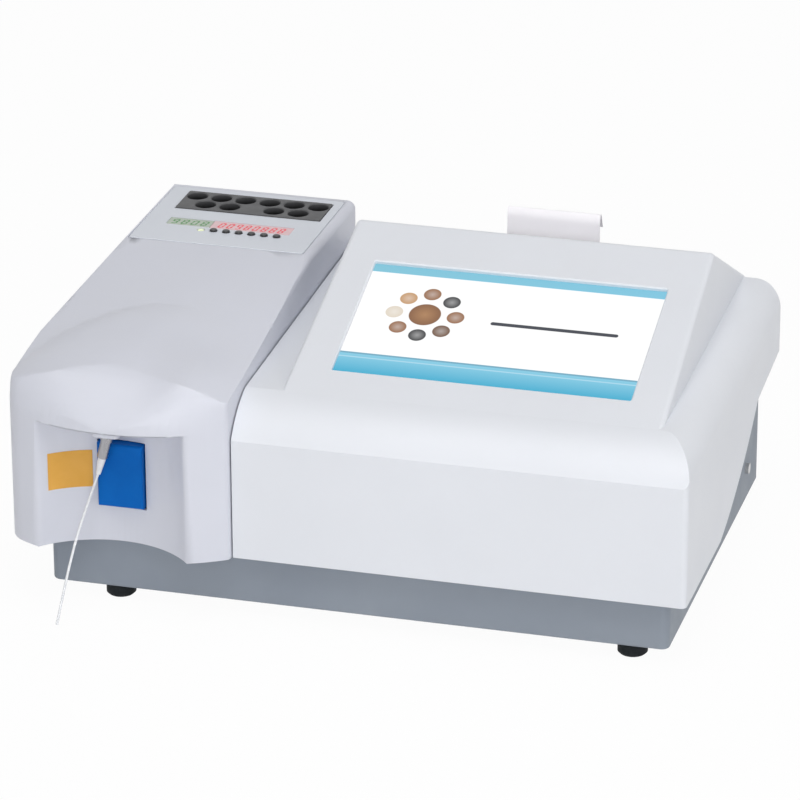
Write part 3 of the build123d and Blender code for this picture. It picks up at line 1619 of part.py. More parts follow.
main_board.part.label = "main_board"
export_step(main_board.part, "parts/main_board.step")

supply_z = floor_z + short_boss_height
supply_sheet = 1.5
supply_mid = (sum(supply_x) / 2, sum(supply_y) / 2)
with BuildPart() as power_supply:
    block(*supply_x, *supply_y, supply_z, supply_z + supply_sheet)
    for x, y in supply_stands:
        rod((x, y, supply_z - 1), (0, 0, 1), screw_radius, supply_sheet + 2, mode=Mode.SUBTRACT)
    plate_on(Plane.XY, 30, 28, supply_z + supply_sheet, supply_z + 27, 2.0, supply_mid)
    for side in (-1, 1):
        sink_y = supply_mid[1] + side * 20
        plate_on(Plane.XY, 60, 2.4, supply_z + supply_sheet, supply_z + 30, centre=(supply_mid[0], sink_y))
    rod((supply_x[0] + 20, supply_mid[1], supply_z), (0, 0, 1), 11, 30)
    for can in (-1, 1):
        rod((supply_x[1] - 19, supply_mid[1] + 9 * can, supply_z), (0, 0, 1), 6, 22)
power_supply.part.label = "power_supply"
export_step(power_supply.part, "parts/power_supply.step")

# Peristaltic pump: housing on the tray floor, three-roller rotor, motor behind
pump_x = cover_x + 48.0
pump_y = front_y + 34.0
pump_depth = 20.0
pump_back_wall = 4.0
pump_cavity_radius = 16.0
pump_axis_z = floor_z + 23.0
pump_roller_radius = 4.6
pump_shaft_radius = 2.0
with BuildPart() as pump_housing:
    block(pump_x - 21, pump_x + 21, pump_y, pump_y + pump_depth, floor_z, pump_axis_z + 21)
    fillet(pump_housing.edges().filter_by(Axis.Y).group_by(Axis.Z)[-1], 6)
    block(pump_x - 27, pump_x + 27, pump_y, pump_y + pump_depth, floor_z, floor_z + 3)
    rod(
        (pump_x, pump_y - 1, pump_axis_z),
        (0, 1, 0),
        pump_cavity_radius,
        pump_depth - pump_back_wall + 1,
        mode=Mode.SUBTRACT,
    )
    rod(
        (pump_x, pump_y, pump_axis_z), (0, 1, 0), pump_shaft_radius + running_gap, pump_depth + 1, mode=Mode.SUBTRACT
    )
pump_housing.part.label = "pump_housing"
export_step(pump_housing.part, "parts/pump_housing.step")

with BuildPart() as pump_rotor:
    roller_reach = pump_cavity_radius - pump_roller_radius - 1.0
    rotor_y = pump_y + 1.0
    rotor_depth = pump_depth - pump_back_wall - 1.5
    rod((pump_x, rotor_y, pump_axis_z), (0, 1, 0), roller_reach - 1.5, rotor_depth)
    rod((pump_x, rotor_y, pump_axis_z), (0, 1, 0), pump_shaft_radius, pump_depth - 1.5)
    for roller in range(3):
        turn = radians(90 + 120 * roller)
        roller_at = (pump_x + roller_reach * cos(turn), rotor_y, pump_axis_z + roller_reach * sin(turn))
        rod(roller_at, (0, 1, 0), pump_roller_radius, rotor_depth)
pump_rotor.part.label = "pump_rotor"
export_step(pump_rotor.part, "parts/pump_rotor.step")

with BuildPart() as pump_motor:
    rod((pump_x, pump_y + pump_depth, pump_axis_z), (0, 1, 0), 14, 32)
    chamfer(pump_motor.faces().sort_by(Axis.Y)[-1].edges(), 1.5)
    rod((pump_x, pump_y + pump_depth + 31, pump_axis_z), (0, 1, 0), 5, 4)
pump_motor.part.label = "pump_motor"
export_step(pump_motor.part, "parts/pump_motor.step")

# Optics: lamp house, filter wheel, flow cell and detector in one line along the beam
bench_thickness = 4.0
bench_z = floor_z + short_boss_height
bench_top = bench_z + bench_thickness
beam_y = sum(bench_y) / 2
beam_z = bench_top + 30.0
beam_radius = 3.0
wheel_radius = 22.0
wheel_thickness = 3.0
wheel_reach = 16.0
wheel_x = bench_x[0] + 46.0
wheel_z = beam_z + wheel_reach
filter_count = 8
with BuildPart() as optical_bench:
    block(*bench_x, *bench_y, bench_z, bench_top)
    for x, y in bench_stands:
        rod((x, y, bench_z - 1), (0, 0, 1), screw_radius, bench_thickness + 2, mode=Mode.SUBTRACT)
optical_bench.part.label = "optical_bench"
export_step(optical_bench.part, "parts/optical_bench.step")

with BuildPart() as lamp_house:
    lamp_x0 = bench_x[0] + 4
    lamp_x1 = wheel_x - 6
    block(lamp_x0, lamp_x1, beam_y - 16, beam_y + 16, bench_top, beam_z + 16)
    for fin in range(5):
        fin_x = lamp_x0 + 4 + 6.2 * fin
        block(fin_x, fin_x + 2.6, beam_y - 17, beam_y + 17, beam_z + 8, beam_z + 17, mode=Mode.SUBTRACT)
    rod((lamp_x1 + 1, beam_y, beam_z), (-1, 0, 0), beam_radius, 18, mode=Mode.SUBTRACT)
lamp_house.part.label = "lamp_house"
export_step(lamp_house.part, "parts/lamp_house.step")

with BuildPart() as filter_wheel:
    rod((wheel_x, beam_y, wheel_z), (1, 0, 0), wheel_radius, wheel_thickness)
    rod((wheel_x - 2, beam_y, wheel_z), (1, 0, 0), 5, wheel_thickness + 3)
    rod((wheel_x, beam_y, wheel_z), (1, 0, 0), 1.5, wheel_thickness + 14)
    for place in range(filter_count):
        turn = radians(360 * place / filter_count - 90)
        hole_at = (wheel_x - 1, beam_y + wheel_reach * cos(turn), wheel_z + wheel_reach * sin(turn))
        rod(hole_at, (1, 0, 0), beam_radius + 0.8, wheel_thickness + 2, mode=Mode.SUBTRACT)
filter_wheel.part.label = "filter_wheel"
export_step(filter_wheel.part, "parts/filter_wheel.step")

motor_plate_x = wheel_x + wheel_thickness + 3.0
with BuildPart() as filter_motor:
    block(motor_plate_x, motor_plate_x + 3, beam_y - 14, beam_y + 14, bench_top, wheel_z + 14)
    rod((motor_plate_x, beam_y, wheel_z), (1, 0, 0), 11, 18)
    rod((motor_plate_x - 1, beam_y, wheel_z), (1, 0, 0), 1.5 + running_gap, 14, mode=Mode.SUBTRACT)
    rod((motor_plate_x - 1, beam_y, beam_z), (1, 0, 0), beam_radius, 6, mode=Mode.SUBTRACT)
filter_motor.part.label = "filter_motor"
export_step(filter_motor.part, "parts/filter_motor.step")

with BuildPart() as flow_cell:
    cell_x0 = motor_plate_x + 8
    cell_x1 = cell_x0 + 14
    block(cell_x0, cell_x1, beam_y - 10, beam_y + 10, bench_top, beam_z + 5)
    rod((cell_x0 - 1, beam_y, beam_z), (1, 0, 0), 1.5, 16, mode=Mode.SUBTRACT)
    for side in (-1, 1):
        rod((cell_x0 + 7, beam_y + side * 10, beam_z), (0, side, 0), 1.6, 6)
flow_cell.part.label = "flow_cell"
export_step(flow_cell.part, "parts/flow_cell.step")

with BuildPart() as detector_board:
    detector_x = cell_x1 + 8
    block(detector_x, detector_x + board_thickness, beam_y - 18, beam_y + 18, bench_top, beam_z + 10)
    block(detector_x + board_thickness, detector_x + 8, beam_y - 18, beam_y + 18, bench_top, bench_top + 4)
    rod((detector_x - 3, beam_y, beam_z), (1, 0, 0), 4, 3)
    block(detector_x - 1.2, detector_x, beam_y + 8, beam_y + 15, beam_z - 18, beam_z - 8)
detector_board.part.label = "detector_board"
export_step(detector_board.part, "parts/detector_board.step")


# Screws: long ones for the covers, and one short kind everywhere else
def screw(seat, direction, length):
    """Pan-head screw whose head sits on a seat, its shank going along a direction."""
    seat = Vector(*seat)
    direction = Vector(*direction).normalized()
    rod(seat, -direction, screw_head_radius, screw_head_height)
    rod(seat, direction, screw_radius - screw_clearance, length)


carrier_seat = -lcd_under - lcd_plate_thickness
screen_normal = tuple(screen_plane.z_dir)
with BuildPart() as short_screws:
    for x, y in foot_points:
        screw((x, y, foot_seat), (0, 0, 1), short_screw_length)
    for head_x, direction in ((tray_x0, 1), (tray_x1, -1)):
        screw((head_x, side_screw_y, side_screw_z), (direction, 0, 0), short_screw_length)
    for across in (-lcd_post_x, lcd_post_x):
        for up in (-lcd_post_y, lcd_post_y):
            screw(tuple(screen_point(across, up, carrier_seat)), screen_normal, short_screw_length)
    for side in (-1, 1):
        seat = (trigger_x + side * bracket_boss_x, bracket_seat_y + 1.5, trigger_axis_z)
        screw(seat, (0, -1, 0), short_screw_length)
    for x, y in board_stands:
        screw((x, y, board_top_z), (0, 0, -1), short_screw_length)
    for x, y in supply_stands:
        screw((x, y, supply_z + supply_sheet), (0, 0, -1), short_screw_length)
    for x, y in bench_stands:
        screw((x, y, bench_top), (0, 0, -1), short_screw_length)
short_screws.part.label = "short_screws"
export_step(short_screws.part, "parts/short_screws.step")
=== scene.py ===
import bpy, bmesh, math
from mathutils import Matrix, Vector


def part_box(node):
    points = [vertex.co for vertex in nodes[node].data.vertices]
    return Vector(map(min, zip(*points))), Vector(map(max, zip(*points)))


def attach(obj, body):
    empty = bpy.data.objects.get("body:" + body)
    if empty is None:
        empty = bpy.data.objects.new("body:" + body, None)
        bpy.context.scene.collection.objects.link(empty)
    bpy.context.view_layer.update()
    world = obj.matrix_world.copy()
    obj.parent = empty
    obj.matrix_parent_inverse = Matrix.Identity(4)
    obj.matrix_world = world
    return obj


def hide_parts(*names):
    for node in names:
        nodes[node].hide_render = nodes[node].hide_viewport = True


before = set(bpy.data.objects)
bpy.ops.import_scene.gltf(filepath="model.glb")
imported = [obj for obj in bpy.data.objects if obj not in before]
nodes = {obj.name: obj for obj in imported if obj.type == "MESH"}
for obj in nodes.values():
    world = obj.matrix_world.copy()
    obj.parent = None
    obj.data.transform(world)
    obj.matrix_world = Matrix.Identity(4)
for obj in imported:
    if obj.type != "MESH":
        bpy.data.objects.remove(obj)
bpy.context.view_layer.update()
print("frame loaded:", len(nodes), "pieces")


# Camera, standing in front of the analyzer, to its right and above it
cameraSettings = {
    "place": (0.68665, -2.4578, 1.1775),
    "turn": 15.58,       # degrees to the left of straight ahead
    "down": 22.92,
    "roll": -0.2,
    "lens": 210.65,      # mm
    "sensor": 36,        # mm
    "farthest": 20,      # metres
}


def makeCamera(settings):
    camera = bpy.data.cameras.new("bench camera")
    camera.lens = settings["lens"]
    camera.sensor_width = settings["sensor"]
    camera.clip_end = settings["farthest"]
    holder = bpy.data.objects.new("bench camera", camera)
    bpy.context.scene.collection.objects.link(holder)
    turned = (Matrix.Rotation(math.radians(settings["turn"]), 4, "Z")
              @ Matrix.Rotation(math.radians(90 - settings["down"]), 4, "X")
              @ Matrix.Rotation(math.radians(settings["roll"]), 4, "Z"))
    holder.matrix_world = Matrix.Translation(settings["place"]) @ turned
    bpy.context.scene.camera = holder


makeCamera(cameraSettings)
print("camera placed")


# Node tree helpers
def addNode(tree, kind, **settings):
    node = tree.nodes.new(kind)
    for name, value in settings.items():
        setattr(node, name, value)
    return node


def feed(tree, socket, value):
    if isinstance(value, bpy.types.NodeSocket):
        tree.links.new(value, socket)
    elif value is not None:
        bare = socket.type == "RGBA" and len(value) == 3      # a tone without its alpha
        socket.default_value = (*value, 1) if bare else value


def calc(tree, operation, *values, clamp=False):
    node = addNode(tree, "ShaderNodeMath", operation=operation, use_clamp=clamp)
    for socket, value in zip(node.inputs, values):
        feed(tree, socket, value)
    return node.outputs[0]


def blendColours(tree, factor, first, second):
    node = addNode(tree, "ShaderNodeMix", data_type="RGBA")
    feed(tree, node.inputs[0], factor)
    feed(tree, node.inputs[6], first)      # a Mix node's sockets for colours
    feed(tree, node.inputs[7], second)
    return node.outputs[2]


def spread(tree, value, low, high, newLow, newHigh):
    node = addNode(tree, "ShaderNodeMapRange", clamp=True)
    for socket, given in zip(node.inputs, (value, low, high, newLow, newHigh)):
        feed(tree, socket, given)
    return node.outputs[0]


def splitVector(tree, vector):
    node = addNode(tree, "ShaderNodeSeparateXYZ")
    feed(tree, node.inputs[0], vector)
    return node.outputs


def subtractVector(tree, vector, other):
    node = addNode(tree, "ShaderNodeVectorMath", operation="SUBTRACT")
    feed(tree, node.inputs[0], vector)
    feed(tree, node.inputs[1], other)
    return node.outputs[0]


def noise(tree, vector, scale, detail=2.0, roughness=0.5):
    node = addNode(tree, "ShaderNodeTexNoise")
    feed(tree, node.inputs["Vector"], vector)
    feed(tree, node.inputs["Scale"], scale)
    feed(tree, node.inputs["Detail"], detail)
    feed(tree, node.inputs["Roughness"], roughness)
    return node.outputs["Fac"]


def newGroup(name, inputs, outputs):
    group = bpy.data.node_groups.new(name, "ShaderNodeTree")
    kinds = {"colour": "NodeSocketColor", "value": "NodeSocketFloat", "vector": "NodeSocketVector"}
    for socketName, kind in inputs:
        group.interface.new_socket(socketName, in_out="INPUT", socket_type=kinds[kind])
    for socketName, kind in outputs:
        group.interface.new_socket(socketName, in_out="OUTPUT", socket_type=kinds[kind])
    start = group.nodes.new("NodeGroupInput").outputs
    end = group.nodes.new("NodeGroupOutput").inputs
    return group, start, end


def useGroup(tree, group, **values):
    node = addNode(tree, "ShaderNodeGroup", node_tree=group)
    for name, value in values.items():
        feed(tree, node.inputs[name], value)
    return node.outputs


# Moulded or painted skin: two near tones in soft clouds, uneven gloss, a fine grain
skinPattern = {
    "cloudDetail": (3.0, 0.55),      # detail and roughness of the noise
    "cloudEdges": (0.32, 0.68),      # noise values between which one tone turns into the other
    "smearScale": 3.7,               # how many times finer the smears are than the clouds
    "smearDetail": (4.0, 0.6),
    "smearEdges": (0.3, 0.7),
    "grainDetail": 1.0,
}


def makeSkinGroup(pattern):
    group, start, end = newGroup(
        "moulded skin",
        [("Vector", "vector"), ("Tone", "colour"), ("SecondTone", "colour"), ("CloudScale", "value"),
         ("GlossLow", "value"), ("GlossHigh", "value"), ("GrainScale", "value")],
        [("Color", "colour"), ("Roughness", "value"), ("Height", "value")])
    clouds = noise(group, start["Vector"], start["CloudScale"], *pattern["cloudDetail"])
    smearScale = calc(group, "MULTIPLY", start["CloudScale"], pattern["smearScale"])
    smears = noise(group, start["Vector"], smearScale, *pattern["smearDetail"])
    shade = spread(group, clouds, *pattern["cloudEdges"], 0.0, 1.0)
    gloss = spread(group, smears, *pattern["smearEdges"], start["GlossLow"], start["GlossHigh"])
    feed(group, end["Color"], blendColours(group, shade, start["Tone"], start["SecondTone"]))
    feed(group, end["Roughness"], gloss)
    feed(group, end["Height"], noise(group, start["Vector"], start["GrainScale"], pattern["grainDetail"]))
    return group


# Drawn or brushed metal: fine lines along one direction, with marks that change the gloss
metalPattern = {
    "lineDetail": (4.0, 0.7),
    "markScale": 60.0,
    "markDetail": 3.0,
    "markEdges": (0.3, 0.7),
}


def makeMetalGroup(pattern):
    group, start, end = newGroup(
        "brushed metal",
        [("Vector", "vector"), ("Stretch", "vector"), ("Tone", "colour"), ("SecondTone", "colour"),
         ("GlossLow", "value"), ("GlossHigh", "value")],
        [("Color", "colour"), ("Roughness", "value"), ("Height", "value")])
    stretched = addNode(group, "ShaderNodeVectorMath", operation="MULTIPLY")
    feed(group, stretched.inputs[0], start["Vector"])
    feed(group, stretched.inputs[1], start["Stretch"])
    lines = noise(group, stretched.outputs[0], 1.0, *pattern["lineDetail"])
    marks = noise(group, start["Vector"], pattern["markScale"], pattern["markDetail"])
    gloss = spread(group, marks, *pattern["markEdges"], start["GlossLow"], start["GlossHigh"])
    feed(group, end["Color"], blendColours(group, lines, start["Tone"], start["SecondTone"]))
    feed(group, end["Roughness"], gloss)
    feed(group, end["Height"], lines)
    return group


# Thin dust that lies on what faces up
dustPattern = {
    "facing": (0.35, 1.0),           # upward part of the normal, from no dust to all of it
    "patchScale": 38.0,
    "patchDetail": (5.0, 0.65),
    "patchEdges": (0.4, 0.75),
}


def makeDustGroup(pattern):
    group, start, end = newGroup(
        "settled dust",
        [("Vector", "vector"), ("Color", "colour"), ("Dust", "colour"), ("Amount", "value")],
        [("Color", "colour")])
    geometry = addNode(group, "ShaderNodeNewGeometry")
    facing = splitVector(group, geometry.outputs["Normal"])
    upward = spread(group, facing["Z"], *pattern["facing"], 0.0, 1.0)
    spots = noise(group, start["Vector"], pattern["patchScale"], *pattern["patchDetail"])
    patches = spread(group, spots, *pattern["patchEdges"], 0.0, 1.0)
    lying = calc(group, "MULTIPLY", calc(group, "MULTIPLY", upward, patches), start["Amount"])
    feed(group, end["Color"], blendColours(group, lying, start["Color"], start["Dust"]))
    return group


# Rounded bar in the local x and y of a vector, 1 inside and 0 outside
def makeBarGroup():
    group, start, end = newGroup(
        "rounded bar",
        [("Vector", "vector"), ("Centre", "vector"), ("HalfSize", "vector"), ("Corner", "value"),
         ("Soft", "value")],
        [("Mask", "value")])
    place = splitVector(group, subtractVector(group, start["Vector"], start["Centre"]))
    size = splitVector(group, start["HalfSize"])
    past = []      # how far outside the bar's straight parts, along each axis
    for axis in "XY":
        inner = calc(group, "SUBTRACT", size[axis], start["Corner"])
        past.append(calc(group, "SUBTRACT", calc(group, "ABSOLUTE", place[axis]), inner))
    outside = [calc(group, "MAXIMUM", value, 0.0) for value in past]
    squares = [calc(group, "MULTIPLY", value, value) for value in outside]
    corner = calc(group, "SQRT", calc(group, "ADD", squares[0], squares[1]))
    within = calc(group, "MINIMUM", calc(group, "MAXIMUM", past[0], past[1]), 0.0)
    distance = calc(group, "SUBTRACT", calc(group, "ADD", corner, within), start["Corner"])
    feed(group, end["Mask"], spread(group, distance, 0.0, start["Soft"], 1.0, 0.0))
    return group


skinGroup = makeSkinGroup(skinPattern)
metalGroup = makeMetalGroup(metalPattern)
dustGroup = makeDustGroup(dustPattern)
barGroup = makeBarGroup()
print("effect groups made")


def newMaterial(name, **sockets):
    material = bpy.data.materials.new(name)
    material.use_nodes = True
    tree = material.node_tree
    shader = tree.nodes["Principled BSDF"]
    for socketName, value in sockets.items():
        shader.inputs[socketName.replace("_", " ")].default_value = value
    return material, tree, shader


def objectVector(tree, centre=(0, 0, 0), turn=(0, 0, 0)):
    coordinates = addNode(tree, "ShaderNodeTexCoord")
    mapping = addNode(tree, "ShaderNodeMapping", vector_type="TEXTURE")
    feed(tree, mapping.inputs["Vector"], coordinates.outputs["Object"])
    mapping.inputs["Location"].default_value = centre
    mapping.inputs["Rotation"].default_value = turn
    return mapping.outputs[0]


def addBump(tree, shader, height, look):
    bump = addNode(tree, "ShaderNodeBump")
    bump.inputs["Strength"].default_value = look["bump"]
    bump.inputs["Distance"].default_value = look["depth"]
    feed(tree, bump.inputs["Height"], height)
    feed(tree, shader.inputs["Normal"], bump.outputs[0])


def useSkin(tree, vector, look):
    return useGroup(tree, skinGroup, Vector=vector, Tone=look["tone"], SecondTone=look["second"],
                    CloudScale=look["clouds"], GrainScale=look["grain"],
                    GlossLow=look["gloss"][0], GlossHigh=look["gloss"][1])


def skinMaterial(name, look):
    material, tree, shader = newMaterial(name, **look.get("sockets", {}))
    vector = objectVector(tree)
    skin = useSkin(tree, vector, look)
    colour = skin["Color"]
    if "dust" in look:
        colour = useGroup(tree, dustGroup, Vector=vector, Color=colour, Dust=look["dust"],
                          Amount=look["dustAmount"])["Color"]
    feed(tree, shader.inputs["Base Color"], colour)
    feed(tree, shader.inputs["Roughness"], skin["Roughness"])
    addBump(tree, shader, skin["Height"], look)
    return material


def metalMaterial(name, look):
    material, tree, shader = newMaterial(name, Metallic=look["metal"])
    vector = objectVector(tree)
    metal = useGroup(tree, metalGroup, Vector=vector, Stretch=look["stretch"], Tone=look["tone"],
                     SecondTone=look["second"], GlossLow=look["gloss"][0], GlossHigh=look["gloss"][1])
    feed(tree, shader.inputs["Base Color"], metal["Color"])
    feed(tree, shader.inputs["Roughness"], metal["Roughness"])
    addBump(tree, shader, metal["Height"], look)
    return material


# Plastics, paints and paper. Scales count noise cells to the metre, and depth is in metres
skinLooks = {
    "mainShell": {"tone": (0.735, 0.755, 0.80), "second": (0.755, 0.775, 0.82), "clouds": 9.0,
                  "gloss": (0.36, 0.46), "grain": 1500.0, "bump": 0.12, "depth": 0.0001,
                  "dust": (0.62, 0.60, 0.56), "dustAmount": 0.05},
    # painted shade: a darker, bluer copy of the main shell for the reader cover's top and the nozzle mount
    # in its recess
    "shadedReaderShell": {"tone": (0.635, 0.65, 0.72), "second": (0.655, 0.67, 0.74), "clouds": 9.0,
                    "gloss": (0.36, 0.46), "grain": 1500.0, "bump": 0.12, "depth": 0.0001,
                    "dust": (0.62, 0.60, 0.56), "dustAmount": 0.05},
    "panelSkin": {"tone": (0.68, 0.71, 0.77), "second": (0.70, 0.73, 0.79), "clouds": 14.0,
                  "gloss": (0.42, 0.5), "grain": 1900.0, "bump": 0.1, "depth": 0.0001},
    "trayPaint": {"tone": (0.235, 0.268, 0.318), "second": (0.262, 0.296, 0.345), "clouds": 16.0,
                  "gloss": (0.45, 0.6), "grain": 1100.0, "bump": 0.3, "depth": 0.0001,
                  "dust": (0.45, 0.44, 0.42), "dustAmount": 0.12},
    "blackRubber": {"tone": (0.009, 0.012, 0.014), "second": (0.015, 0.018, 0.021), "clouds": 90.0,
                    "gloss": (0.6, 0.8), "grain": 1400.0, "bump": 0.3, "depth": 0.0001,
                    "sockets": {"Specular_IOR_Level": 0.2}},
    "blackPlastic": {"tone": (0.016, 0.017, 0.019), "second": (0.024, 0.025, 0.028), "clouds": 40.0,
                     "gloss": (0.4, 0.55), "grain": 1700.0, "bump": 0.25, "depth": 0.0001},
    "darkPlastic": {"tone": (0.035, 0.037, 0.042), "second": (0.05, 0.052, 0.058), "clouds": 40.0,
                    "gloss": (0.35, 0.5), "grain": 1500.0, "bump": 0.2, "depth": 0.0001},
    "whitePlastic": {"tone": (0.72, 0.72, 0.70), "second": (0.76, 0.76, 0.75), "clouds": 50.0,
                     "gloss": (0.35, 0.5), "grain": 1500.0, "bump": 0.15, "depth": 0.0001},
    "boardGreen": {"tone": (0.012, 0.105, 0.045), "second": (0.02, 0.15, 0.065), "clouds": 120.0,
                   "gloss": (0.25, 0.4), "grain": 900.0, "bump": 0.2, "depth": 0.0001},
    "paper": {"tone": (0.93, 0.91, 0.94), "second": (0.95, 0.93, 0.96), "clouds": 30.0,
              "gloss": (0.55, 0.7), "grain": 2600.0, "bump": 0.25, "depth": 0.00005},
    "triggerBlue": {"tone": (0.0, 0.112, 0.45), "second": (0.001, 0.128, 0.49), "clouds": 60.0,
                    "gloss": (0.4, 0.5), "grain": 1800.0, "bump": 0.12, "depth": 0.0001,
                    "sockets": {"Specular_IOR_Level": 0.1}},
    "keyBlack": {"tone": (0.012, 0.012, 0.014), "second": (0.02, 0.02, 0.023), "clouds": 120.0,
                 "gloss": (0.3, 0.42), "grain": 2400.0, "bump": 0.15, "depth": 0.00005},
    "stickerAmber": {"tone": (0.72, 0.37, 0.06), "second": (0.76, 0.40, 0.075), "clouds": 70.0,
                     "gloss": (0.35, 0.45), "grain": 2600.0, "bump": 0.08, "depth": 0.00005,
                     "sockets": {"Specular_IOR_Level": 0.3}},
    "heaterFilm": {"tone": (0.42, 0.14, 0.02), "second": (0.48, 0.18, 0.03), "clouds": 90.0,
                   "gloss": (0.25, 0.4), "grain": 900.0, "bump": 0.2, "depth": 0.0001},
    "blackMetal": {"tone": (0.055, 0.056, 0.06), "second": (0.08, 0.081, 0.086), "clouds": 45.0,
                   "gloss": (0.35, 0.5), "grain": 1600.0, "bump": 0.25, "depth": 0.0001},
}

# Metals, with the stretch of their lines along x, y and z
metalLooks = {
    "zincSheet": {"tone": (0.46, 0.47, 0.48), "second": (0.6, 0.61, 0.62), "stretch": (30, 600, 600),
                  "metal": 1.0, "gloss": (0.35, 0.5), "bump": 0.2, "depth": 0.0001},
    "screwSteel": {"tone": (0.5, 0.5, 0.5), "second": (0.66, 0.66, 0.66), "stretch": (900, 900, 900),
                   "metal": 1.0, "gloss": (0.25, 0.4), "bump": 0.15, "depth": 0.00005},
    "socketMetal": {"tone": (0.5, 0.5, 0.51), "second": (0.62, 0.62, 0.63), "stretch": (700, 200, 700),
                    "metal": 1.0, "gloss": (0.25, 0.38), "bump": 0.15, "depth": 0.00005},
    "nozzleMetal": {"tone": (0.30, 0.30, 0.32), "second": (0.46, 0.46, 0.48), "stretch": (900, 900, 120),
                    "metal": 1.0, "gloss": (0.22, 0.34), "bump": 0.15, "depth": 0.00005},
    "motorMetal": {"tone": (0.4, 0.4, 0.41), "second": (0.52, 0.52, 0.53), "stretch": (500, 60, 500),
                   "metal": 1.0, "gloss": (0.3, 0.45), "bump": 0.2, "depth": 0.00005},
}
finishes = {name: skinMaterial(name, look) for name, look in skinLooks.items()}
finishes.update({name: metalMaterial(name, look) for name, look in metalLooks.items()})

# Which finish the record's slots take
slotFinish = {
    "white_shell": "mainShell", "panel_grey": "panelSkin", "tray_grey": "trayPaint",
    "zinc_sheet": "zincSheet", "rubber_black": "blackRubber", "screw_steel": "screwSteel",
    "black_plastic": "blackPlastic", "dark_plastic": "darkPlastic", "socket_metal": "socketMetal",
    "board_green": "boardGreen", "paper_white": "paper", "black_metal": "blackMetal",
    "heater_orange": "heaterFilm", "trigger_blue": "triggerBlue", "sticker_amber": "stickerAmber",
    "white_plastic": "whitePlastic", "motor_metal": "motorMetal", "key_black": "keyBlack",
}
print("finishes made:", len(finishes))


# Display picture, in metres: bars above and below on white, a wheel of sample discs and a rule
screenSettings = {
    "centre": (0.06765, -0.0205, 0.1591),
    "tilt": 18.64,                   # degrees
    "half": (0.0885, 0.0498),        # half the picture's width and height
    "overlap": 1.1,                  # how many times wider than the picture its bars are
    "soft": 0.0002,                  # width of a soft edge
    "white": (0.985, 0.985, 0.985),
    "glow": 0.95,
    "specular": 0.2,
    "unlit": (0.01, 0.011, 0.013),
    "unlitShare": 0.94,
    "smudges": (45.0, 4.0, 0.6),     # scale, detail and roughness of the noise
    "smudgeEdges": (0.35, 0.7),
    "gloss": (0.08, 0.2),
    "bars": {
        "topHeight": 0.0068,
        "topLeft": (0.215, 0.54, 0.68),
        "topRight": (0.205, 0.545, 0.72),
        "lowHeight": 0.019,
        "lowBottom": (0.03, 0.39, 0.60),
        "lowTop": (0.25, 0.60, 0.77),
        "rim": (0.16, 0.39, 0.52),   # dark line along the low bar's upper edge
        "rimHalf": 0.0006,
        "sheen": (0.8, 0.93, 0.98),  # faint line under it
        "sheenHalf": 0.0004,
        "sheenDrop": 0.0035,
        "sheenShare": 0.3,
    },
    "wheel": {
        "centre": (-0.0478, 0.0085),
        "radius": 0.0185,
        "discs": 8,
        "discRadius": 0.0052,
        "discTones": [(0.0, (0.30, 0.13, 0.05)), (0.25, (0.55, 0.31, 0.14)), (0.45, (0.03, 0.03, 0.033)),
                      (0.65, (0.74, 0.66, 0.55)), (0.85, (0.16, 0.075, 0.035))],
        "toneStep": 0.382,           # from one disc's tone to the next, as a share of the list
        "discLight": 0.3,
        "hubRadius": 0.0095,
        "hubMiddle": (0.42, 0.22, 0.10),
        "hubRim": (0.24, 0.11, 0.05),
    },
    "rule": {
        "centre": (0.0303, 0.0066),
        "half": (0.038, 0.0013),
        "tone": (0.05, 0.055, 0.07),
    },
}


def distanceFrom(tree, x, y):
    squares = calc(tree, "ADD", calc(tree, "MULTIPLY", x, x), calc(tree, "MULTIPLY", y, y))
    return calc(tree, "SQRT", squares)


# Each disc of the ring takes its tone from its place in it
def addWheel(tree, colour, vector, soft, look):
    spot = splitVector(tree, subtractVector(tree, vector, (*look["centre"], 0)))
    step = 2 * math.pi / look["discs"]
    around = calc(tree, "ARCTAN2", spot["Y"], spot["X"])
    number = calc(tree, "FLOOR", calc(tree, "ADD", calc(tree, "DIVIDE", around, step), 0.5))
    turned = calc(tree, "MULTIPLY", number, step)
    middleX = calc(tree, "MULTIPLY", calc(tree, "COSINE", turned), look["radius"])
    middleY = calc(tree, "MULTIPLY", calc(tree, "SINE", turned), look["radius"])
    discAway = distanceFrom(tree, calc(tree, "SUBTRACT", spot["X"], middleX),
                            calc(tree, "SUBTRACT", spot["Y"], middleY))
    hubAway = distanceFrom(tree, spot["X"], spot["Y"])
    discRadius, hubRadius = look["discRadius"], look["hubRadius"]
    disc = spread(tree, discAway, discRadius - soft, discRadius + soft, 1.0, 0.0)
    hub = spread(tree, hubAway, hubRadius - soft, hubRadius + soft, 1.0, 0.0)

    counted = calc(tree, "ADD", number, look["discs"] + 0.5)
    tones = addNode(tree, "ShaderNodeValToRGB")
    tones.color_ramp.interpolation = "CONSTANT"
    stops = tones.color_ramp.elements
    for count, (position, tone) in enumerate(look["discTones"]):
        stop = stops[count] if count < 2 else stops.new(position)      # a new ramp has two stops
        stop.position = position
        stop.color = (*tone, 1)
    feed(tree, tones.inputs[0], calc(tree, "FRACT", calc(tree, "MULTIPLY", counted, look["toneStep"])))
    light = spread(tree, discAway, 0.0, discRadius, look["discLight"], 0.0)
    discTone = blendColours(tree, light, tones.outputs[0], (1, 1, 1))
    hubShade = spread(tree, hubAway, 0.0, hubRadius, 0.0, 1.0)
    hubTone = blendColours(tree, hubShade, look["hubMiddle"], look["hubRim"])
    colour = blendColours(tree, disc, colour, discTone)
    return blendColours(tree, hub, colour, hubTone)


